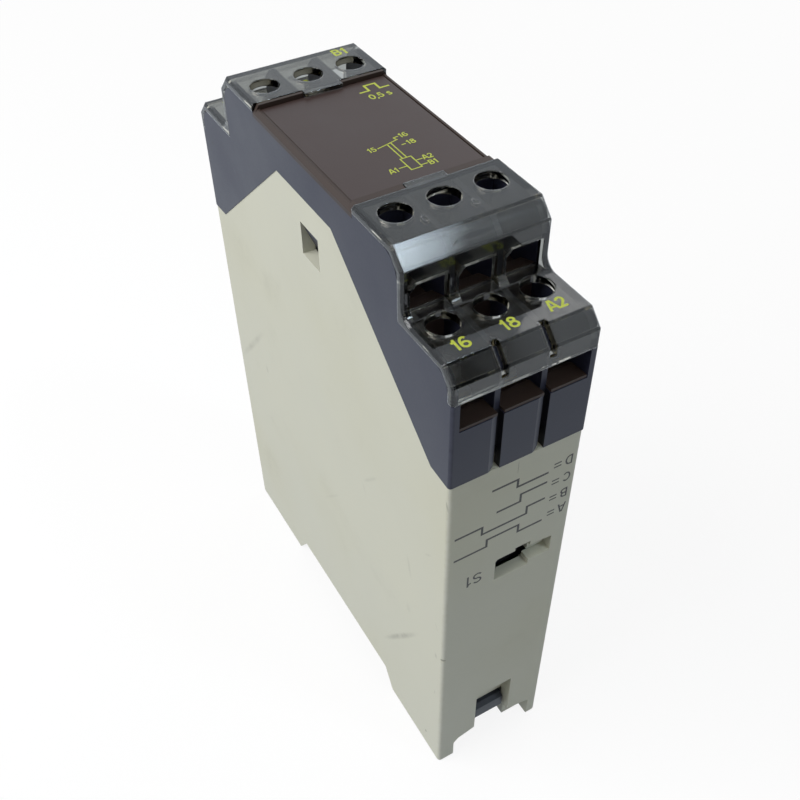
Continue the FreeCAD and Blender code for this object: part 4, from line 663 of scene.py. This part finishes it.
stand = {"Points": line.outputs[0], "Instance": leg.outputs[0]}
row = add_node(leg_rows, "GeometryNodeInstanceOnPoints", stand)
other = add_node(leg_rows, "GeometryNodeTransform", {0: row.outputs[0], "Rotation": (math.pi, 0.0, 0.0)})
pair = leg_rows.nodes.new("GeometryNodeJoinGeometry")
leg_rows.links.new(row.outputs[0], pair.inputs[0])
leg_rows.links.new(other.outputs[0], pair.inputs[0])
leg_rows.links.new(pair.outputs[0], end)
chip_legs = grow(
    leg_rows,
    "timer_chip_legs",
    "case",
    {"Legs": chip_pins, "Row Offset": half_row * MM, "Leg Height": 1.75 * MM, "Material": tinned_copper},
    place=Matrix.Translation((5.05 * MM, chip_middle[0] * MM, chip_middle[1] * MM)),
)


def banded(name, colour, half_length, near_y, far_y, bands):
    """Barrels on bare leads, banded with paint: places along each barrel are taken from its own middle."""
    finish, tree, shader = new_finish(name, IOR=1.5)
    skin = grained(tree, shader, colour, 0.35, patch=2 * MM, tone=0.1, grain=0.2 * MM)[0]
    y = split_place(tree)[1]
    divide = (near_y + far_y) / 2
    second = calc(tree, "GREATER_THAN", y, divide * MM)
    middle = calc(tree, "MULTIPLY_ADD", second, (far_y - near_y) * MM, near_y * MM)
    along = calc(tree, "SUBTRACT", y, middle)
    seen = skin.outputs["Colour"]
    for offset, half, tint in bands:
        off = calc(tree, "ABSOLUTE", calc(tree, "SUBTRACT", along, offset * MM))
        seen = blend_colour(tree, fade(tree, off, (half + 0.03) * MM, (half - 0.03) * MM), seen, tint)
    bare = fade(tree, calc(tree, "ABSOLUTE", along), half_length * MM, (half_length + 0.05) * MM)
    tree.links.new(blend_colour(tree, bare, seen, paint(196, 194, 188)), shader.inputs["Base Color"])
    tree.links.new(bare, shader.inputs["Metallic"])
    return finish


bands = [
    (-2.3, 0.32, paint(96, 52, 28)),
    (-1.1, 0.32, paint(20, 20, 20)),
    (0.1, 0.32, paint(214, 96, 30)),
    (2.2, 0.32, paint(170, 128, 44)),
]
dress(banded("resistor_body", paint(206, 176, 132), 3.25, -24.0, -0.8, bands), "resistors")
bands = [(1.6, 0.35, paint(190, 190, 192))]
dress(banded("diode_body", paint(28, 28, 30), 2.3, -12.8, 30.0, bands), "diodes")


# Small relay
# An open relay under a thin shell: iron core and yoke, a coil wound on a bobbin, and a hinged iron armature.
# The armature carries the changeover spring between its two fixed contacts.
soft_iron = metal("soft_iron", paint(150, 148, 146), paint(92, 84, 78), 0.35, 0.34)
dress(soft_iron, "relay_yoke", "relay_core", "relay_armature")
bobbin_plastic = moulded("bobbin_plastic", paint(196, 186, 158), 0.4, patch=4 * MM, tone=0.06)
dress(bobbin_plastic, "relay_bobbin")
copper_winding = metal("copper_winding", paint(186, 96, 52), paint(120, 52, 28), 0.4, 0.26, Coat_Weight=0.6)
dress(copper_winding, "relay_coil")
contact_brass = metal("contact_brass", paint(196, 164, 92), paint(128, 98, 58), 0.4, 0.28)
dress(contact_brass, "contact_spring", "make_contact", "break_contact")
relay_shell = moulded("relay_shell", paint(34, 36, 40), 0.3, patch=6 * MM, tone=0.12, Coat_Weight=0.2)
dress(relay_shell, "relay_cover")
dress(spring_steel, "return_spring")

wound_wire, entry, end = new_tree(
    "wound_wire",
    [
        ("Turns", NUMBER, 10.0),
        ("Length", NUMBER, 0.005),
        ("Radius", NUMBER, 0.005),
        ("Wire Radius", NUMBER, 0.0001),
        ("Wire Sides", COUNT, 6),
        ("Material", MATERIAL, None),
    ],
)
helix = add_node(
    wound_wire,
    "GeometryNodeCurveSpiral",
    {
        "Resolution": 26,
        "Rotations": entry["Turns"],
        "Start Radius": entry["Radius"],
        "End Radius": entry["Radius"],
        "Height": entry["Length"],
    },
)
section = add_node(
    wound_wire,
    "GeometryNodeCurvePrimitiveCircle",
    {"Resolution": entry["Wire Sides"], "Radius": entry["Wire Radius"]},
)
tube = add_node(
    wound_wire,
    "GeometryNodeCurveToMesh",
    {"Curve": helix.outputs[0], "Profile Curve": section.outputs[0], "Fill Caps": True},
)
wound_wire.links.new(tube.outputs[0], end)
low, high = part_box("relay_coil")
wire = 0.1 * MM
coil_length = high.x - low.x - 2 * wire
start = Matrix.Translation((low.x + wire, (low.y + high.y) / 2, (low.z + high.z) / 2))
winding = grow(
    wound_wire,
    "relay_winding",
    "case",
    {
        "Turns": coil_length / (2.05 * wire),
        "Length": coil_length,
        "Radius": (high.z - low.z) / 2,
        "Wire Radius": wire,
        "Wire Sides": 5,
        "Material": copper_winding,
    },
    place=start @ Matrix.Rotation(math.pi / 2, 4, "Y"),
)


# Mode selector
# A slide switch behind the slot in the case end: a black moulded body with a light knob in its groove.
# The knob stands a little back from the slot and is pushed across with a small screwdriver.
dress(black_plastic, "selector_body")
light_slider = moulded("light_slider", paint(196, 198, 184), 0.4, patch=3 * MM, tone=0.06)
dress(light_slider, "selector_slider")


# Terminals
# Brown moulded blocks hold a brass bar for each terminal; a plated screw draws a square plate on the wire.
# The screws are slotted, with a rolled thread that runs in the bar.
brown_plastic, tree, shader = new_finish("brown_plastic", Specular_IOR_Level=0.3)
skin = grained(tree, shader, paint(54, 42, 36), 0.46, patch=5 * MM, tone=0.1, grain=0.3 * MM)[0]
across, along, rise = split_place(tree)
# The blocks' end walls below the lip are painted near black: painted shade of the deep funnels.
end_wall = fade(tree, calc(tree, "ABSOLUTE", along), 38.2 * MM, 38.4 * MM)
painted_shade_below_lip = calc(tree, "MULTIPLY", end_wall, fade(tree, rise, 89.9 * MM, 89.7 * MM))
shaded = blend_colour(tree, painted_shade_below_lip, skin.outputs["Colour"], paint(16, 14, 14))
tree.links.new(shaded, shader.inputs["Base Color"])
dress(brown_plastic, "near_terminal_block", "far_terminal_block")
zinc_steel = metal("zinc_steel", paint(190, 192, 194), paint(122, 116, 104), 0.45, 0.26)
thread_length = 4.0 * MM
thread_pitch = 0.5 * MM
thread_radius = 1.47 * MM
thread_crest = 0.055 * MM
bare_point = 0.15 * MM
for number in ("16", "18", "a2", "15", "a1", "b1"):
    dress(contact_brass, f"contact_bar_{number}")
    dress(zinc_steel, f"clamp_plate_{number}", f"terminal_screw_{number}")
    low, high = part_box(f"terminal_screw_{number}")
    thread_start = low.z + bare_point
    thread = grow(
        wound_wire,
        f"screw_thread_{number}",
        f"screw_{number}",
        {
            "Turns": thread_length / thread_pitch,
            "Length": thread_length,
            "Radius": thread_radius,
            "Wire Radius": thread_crest,
            "Wire Sides": 3,
            "Material": zinc_steel,
        },
        place=Matrix.Translation(((low.x + high.x) / 2, (low.y + high.y) / 2, thread_start)),
    )


# Upper housing
# The slate shell snaps over the light case and walls off the terminals from each other.
# It is moulded in one piece with a fine satin skin, darker and smoother than the case.
slate = paint(41, 43, 59)
slate_rubbed_and_lit = paint(76, 78, 93)
slate_housing, tree, shader = new_finish("slate_housing", IOR=1.5, Specular_IOR_Level=0.32)
skin = grained(tree, shader, slate, 0.37, patch=14 * MM, tone=0.07, grain=0.3 * MM)[0]
# Lighter vertical corners: partly rubbed wear, partly a painted edge highlight; the scrape below uses the
# same lighter slate as wear only.
rub_and_highlight = add_node(
    tree,
    "ShaderNodeGroup",
    {"Half Width": 11.25 * MM, "Half Length": 40.0 * MM, "Band": 0.6 * MM},
    node_tree=edge_rub_and_highlight,
)
rub_and_highlight_share = calc(tree, "MULTIPLY", rub_and_highlight.outputs["Mask"], 0.5)
wear_and_painted_shade = blend_colour(tree, rub_and_highlight_share, skin.outputs["Colour"], slate_rubbed_and_lit)
nick = blot(tree, (-11.25, 36.0, 93.85), (0.5, 0.45, 0.5))
wear_and_painted_shade = blend_colour(tree, calc(tree, "MULTIPLY", nick, 0.8), wear_and_painted_shade, paint(36, 36, 42))
scrape = blot(tree, (-11.25, 27.0, 93.1), (0.4, 0.7, 0.14), turn=(0.85, 0, 0))
wear_and_painted_shade = blend_colour(tree, calc(tree, "MULTIPLY", scrape, 0.6), wear_and_painted_shade, slate_rubbed_and_lit)

# The gaps between the end fingers are painted near black: painted shade of the deep slots.
finger_gap_x = 3.65 * MM
across, along, rise = split_place(tree)
from_gap = calc(tree, "ABSOLUTE", calc(tree, "SUBTRACT", calc(tree, "ABSOLUTE", across), finger_gap_x))
below_top = fade(tree, rise, 90.2 * MM, 90.0 * MM)
painted_gap_shade = calc(tree, "MULTIPLY", fade(tree, from_gap, 0.47 * MM, 0.43 * MM), below_top)
# Painted shade in the finger gaps, laid over the worn slate colour.
wear_and_painted_shade = blend_colour(tree, calc(tree, "MULTIPLY", painted_gap_shade, 0.9), wear_and_painted_shade, paint(16, 16, 20))
tree.links.new(wear_and_painted_shade, shader.inputs["Base Color"])
dress(slate_housing, "upper_housing")


# Front frame and plate
# A brown frame clips into the top of the housing and holds a thin brown plate with the circuit on it.
# The plate is a smooth satin sheet; the frame has the same colour with a little more gloss.
# Four lips on the frame's ends, beside the cover tabs, stand level with the covers.
dress(brown_plastic, "front_frame")
lip_low = 108.9
lip_top = 109.92
lip_section = ((3.22, lip_low), (3.22, lip_top), (11.08, lip_low), (10.4, lip_top))
sheet = bmesh.new()
for side in (-1, 1):
    for strip in ((-15.3, -14.12), (14.72, 15.3)):
        corners = [
            sheet.verts.new((side * x * MM, y * MM, z * MM))
            for y in strip
            for x, z in lip_section
        ]
        bmesh.ops.convex_hull(sheet, input=corners)
frame_lips = keep_piece(sheet, "frame_lips", brown_plastic)
front_plate = moulded(
    "front_plate",
    paint(56, 42, 38),
    0.42,
    patch=9 * MM,
    tone=0.06,
    grain=0.2 * MM,
    depth=0.004 * MM,
    Specular_IOR_Level=0.4,
)
dress(front_plate, "label_plate")

lime_ink = printing_ink("lime_ink", paint(172, 182, 62))
reading = ((1, 0, 0), (0, 1, 0))
plate_top = 109.3 * MM
pen_share = 0.155
line_pen, pulse_pen = 0.18 * MM, 0.34 * MM
sheet = bmesh.new()


def on_plate(*corners):
    """Points on the plate from their places across and along it."""
    return [(x * MM, y * MM, plate_top) for x, y in corners]


for words, size, x, y in (
    ("15", 1.15, -1.95, -3.85),
    ("16", 1.15, 3.8, -2.4),
    ("18", 1.15, 3.85, -4.55),
    ("A1", 1.15, -2.0, -10.0),
    ("A2", 1.15, 3.8, -9.05),
    ("B1", 1.15, 3.75, -10.6),
    ("0,5 s", 1.5, 6.8, 9.4),
):
    print_words(sheet, words, size * MM, size * pen_share * MM, on_plate((x, y))[0], *reading)
for corners in (
    ((-1.1, -3.95), (0.6, -3.6), (2.55, -3.1)),
    ((2.2, -2.5), (3.0, -2.45)),
    ((2.2, -2.5), (2.35, -3.0)),
    ((2.3, -4.7), (2.95, -4.7)),
    ((0.6, -3.6), (0.6, -7.8)),
    ((1.24, -3.5), (1.24, -7.8)),
    ((0.2, -7.9), (1.86, -7.9), (1.86, -10.95), (0.2, -10.95), (0.2, -7.9)),
    ((-1.1, -9.85), (0.1, -9.85)),
    ((1.95, -9.2), (2.95, -9.2)),
    ((1.95, -10.55), (2.95, -10.55)),
):
    print_line(sheet, on_plate(*corners), line_pen, *reading)
pulse = on_plate((4.4, 11.3), (6.0, 11.3), (6.0, 13.0), (7.8, 13.0), (7.8, 11.3), (9.4, 11.3))
print_line(sheet, pulse, pulse_pen, *reading)
keep_piece(sheet, "plate_print", lime_ink)


# Terminal covers
# Two clear covers, moulded in polycarbonate, snap over the terminals with a driver hole over each screw.
# They are glossy, faintly smoky and finely scratched; the terminal numbers are printed on them.
clear_cover, tree, shader = new_finish("clear_cover", IOR=1.58, Transmission_Weight=1.0)
smoke = add_node(tree, "ShaderNodeVolumeAbsorption", {"Color": (0.62, 0.6, 0.54, 1.0), "Density": 1050.0})
tree.links.new(smoke.outputs[0], tree.nodes["Material Output"].inputs["Volume"])
place = place_on(tree)
slanted = {"Vector": place, "Rotation": (0.3, 0.2, 0.9), "Scale": (1.0, 0.04, 1.0)}
fine = noise(tree, add_node(tree, "ShaderNodeMapping", slanted).outputs[0], 2600.0, 3.0)
haze = noise(tree, place, 190.0, 4.0)
rubbed = blot(tree, (0, -26.6, 108.7), (40, 2.4, 2.4), soft=0.7)
lengthwise = add_node(tree, "ShaderNodeMapping", {"Vector": place, "Scale": (0.03, 1.0, 1.0)}).outputs[0]
wiped = fade(tree, noise(tree, lengthwise, 1500.0, 3.0), 0.4, 0.7, 0.0, 0.13)
rubbed = calc(tree, "MULTIPLY", rubbed, wiped)
rough = calc(tree, "ADD", fade(tree, fine, 0.6, 0.8, 0.02, 0.1), fade(tree, haze, 0.4, 0.8, 0.0, 0.08))
tree.links.new(calc(tree, "ADD", rough, rubbed), shader.inputs["Roughness"])
hazed = blend_colour(tree, fade(tree, haze, 0.35, 0.75), paint(236, 238, 240), paint(222, 223, 222))
tree.links.new(hazed, shader.inputs["Base Color"])

# Two moulded rings between the driver holes and one scratch on the shoulder stand on the sheet's slow waves
flow = noise(tree, place, 130.0, 1.0)
for x, y in ((-4.7, -22.5), (2.7, -22.6)):
    outer = blot(tree, (x, y, 109.4), (0.55, 0.95, 1.2), soft=0.9)
    inner = blot(tree, (x, y, 109.4), (0.42, 0.78, 1.2), soft=0.85)
    flow = calc(tree, "ADD", flow, calc(tree, "MULTIPLY", calc(tree, "SUBTRACT", outer, inner), 3.0))
scratch = blot(tree, (-2.9, -26.9, 108.4), (0.6, 0.13, 0.3), turn=(0, 0, 0.25))
flow = calc(tree, "ADD", flow, calc(tree, "MULTIPLY", scratch, -4.0))
soft_edge = add_node(tree, "ShaderNodeBevel", {"Radius": 0.28 * MM}, samples=6).outputs[0]
bump = add_node(tree, "ShaderNodeBump", {"Height": flow, "Distance": 0.02 * MM, "Normal": soft_edge})
tree.links.new(bump.outputs["Normal"], shader.inputs["Normal"])
dress(clear_cover, "near_terminal_cover", "far_terminal_cover")

number_height, number_pen = 2.1 * MM, 0.37 * MM
cover_top = 110.0
cover_step = 100.4
cover_prints = {
    "near_cover_print": (
        ("16", -7.35, -35.45, cover_step),
        ("18", -0.1, -35.35, cover_step),
        ("A2", 7.2, -35.15, cover_step),
    ),
    "far_cover_print": (
        ("15", -7.35, 35.45, cover_step),
        ("A1", 7.2, 35.45, cover_step),
        ("B1", 7.5, 23.7, cover_top),
    ),
}
for name, marks in cover_prints.items():
    sheet = bmesh.new()
    for words, x, y, z in marks:
        print_words(sheet, words, number_height, number_pen, (x * MM, y * MM, z * MM), *reading)
    keep_piece(sheet, name, lime_ink)


# Floor, light and camera
# The relay stands on a wide white floor under soft studio light: a large lamp from the left and a weak one
# from the right, both above it, and one with a narrow grid at the near end for the cover's shoulder.
# The background is white to the camera; its reflections are slightly cool and dimmer in front.
floor_mesh = bpy.data.meshes.new("floor")
reach = 3.0
floor_mesh.from_pydata(
    [(-reach, -reach, 0), (reach, -reach, 0), (reach, reach, 0), (-reach, reach, 0)], [], [(0, 1, 2, 3)]
)
floor = bpy.data.objects.new("floor", floor_mesh)
bpy.context.scene.collection.objects.link(floor)
floor_white = bpy.data.materials.new("floor_white")
floor_white.use_nodes = True
tree = floor_white.node_tree
tree.nodes.remove(tree.nodes["Principled BSDF"])


def seen_ray(tree):
    """1 for rays that show the background: from the camera, off gloss or through glass."""
    rays = tree.nodes.new("ShaderNodeLightPath").outputs
    shown = calc(tree, "MAXIMUM", rays["Is Camera Ray"], rays["Is Glossy Ray"])
    return calc(tree, "MAXIMUM", shown, rays["Is Transmission Ray"])


plain_white = (1.0, 1.0, 1.0, 1.0)
cool_white = (0.87, 0.935, 1.0, 1.0)
own_light = 0.88
rays = tree.nodes.new("ShaderNodeLightPath").outputs
pale = blend_colour(tree, rays["Is Camera Ray"], (0.16, 0.16, 0.16, 1.0), (0.95, 0.95, 0.95, 1.0))
matt = add_node(tree, "ShaderNodeBsdfDiffuse", {"Color": pale})
tinted = blend_colour(tree, rays["Is Glossy Ray"], plain_white, cool_white)
white = add_node(tree, "ShaderNodeEmission", {"Color": tinted, "Strength": 1.0})
mixed = add_node(
    tree,
    "ShaderNodeMixShader",
    {0: calc(tree, "MULTIPLY", seen_ray(tree), own_light), 1: matt.outputs[0], 2: white.outputs[0]},
)
tree.links.new(mixed.outputs[0], tree.nodes["Material Output"].inputs["Surface"])
floor_mesh.materials.append(floor_white)

world = bpy.data.worlds.new("studio")
bpy.context.scene.world = world
world.use_nodes = True
tree = world.node_tree
ground = tree.nodes["Background"]
rays = tree.nodes.new("ShaderNodeLightPath").outputs
cool = blend_colour(tree, rays["Is Glossy Ray"], plain_white, cool_white)
tree.links.new(cool, ground.inputs["Color"])
around = add_node(tree, "ShaderNodeTexCoord").outputs["Generated"]
way = add_node(tree, "ShaderNodeSeparateXYZ", {0: around}).outputs
dim_front = calc(tree, "MULTIPLY", fade(tree, way[1], -0.25, -0.5), fade(tree, way[2], 0.665, 0.61))
dim_front = calc(tree, "MULTIPLY", dim_front, fade(tree, way[0], 0.51, 0.425))
front_dimming = 0.95
shine = calc(tree, "MULTIPLY_ADD", dim_front, -front_dimming, 1.0)
clear = calc(tree, "MAXIMUM", rays["Is Camera Ray"], rays["Is Transmission Ray"])
fill = 0.32
soft = calc(tree, "MULTIPLY_ADD", rays["Is Glossy Ray"], calc(tree, "SUBTRACT", shine, fill), fill)
tree.links.new(calc(tree, "MAXIMUM", soft, clear), ground.inputs["Strength"])


def soft_lamp(name, size, power, spot, aim, spread=180.0, colour=(1.0, 1.0, 1.0)):
    """A square studio lamp at a spot, turned to its aim; a grid in front of it may narrow its spread."""
    lamp = bpy.data.lights.new(name, "AREA")
    lamp.color = colour
    lamp.size = size
    lamp.energy = power
    lamp.spread = math.radians(spread)
    holder = bpy.data.objects.new(name, lamp)
    bpy.context.scene.collection.objects.link(holder)
    holder.location = spot
    holder.rotation_euler = (Vector(aim) - Vector(spot)).to_track_quat("-Z", "Y").to_euler()


middle = (0.0, 0.0, 0.06)
soft_lamp("left_lamp", 0.7, 6.9, (-0.62, 0.15, 0.62), middle)
soft_lamp("right_lamp", 0.7, 2.0, (0.75, 0.3, 0.45), middle)
soft_lamp(
    "shoulder_lamp",
    0.22,
    0.024,
    (0.216, -0.355, 0.562),
    (0.0, -0.027, 0.108),
    spread=14.4,
    colour=(0.74, 0.88, 1.0),
)

# The camera's place, turn and focal length were fitted to the edges in the photo
eye = Vector((-58.588, -110.712, 178.944)) * MM
right = Vector((0.866895, -0.4983, -0.013775))
up = Vector((0.366047, 0.61757, 0.696144))
back = Vector((-0.338382, -0.608526, 0.71777))
camera = bpy.data.cameras.new("photo_camera")
sensor_mm = 36.0
focal_px = 981.319
picture_px = 800
camera.sensor_width = sensor_mm
camera.lens = sensor_mm * focal_px / picture_px
camera.shift_x = 0.00625
camera.shift_y = 0.0375
camera.clip_start = 0.01
holder = bpy.data.objects.new("photo_camera", camera)
bpy.context.scene.collection.objects.link(holder)
holder.matrix_world = Matrix.Translation(eye) @ Matrix((right, up, back)).transposed().to_4x4()
bpy.context.scene.camera = holder
bpy.context.scene.view_settings.view_transform = "Standard"
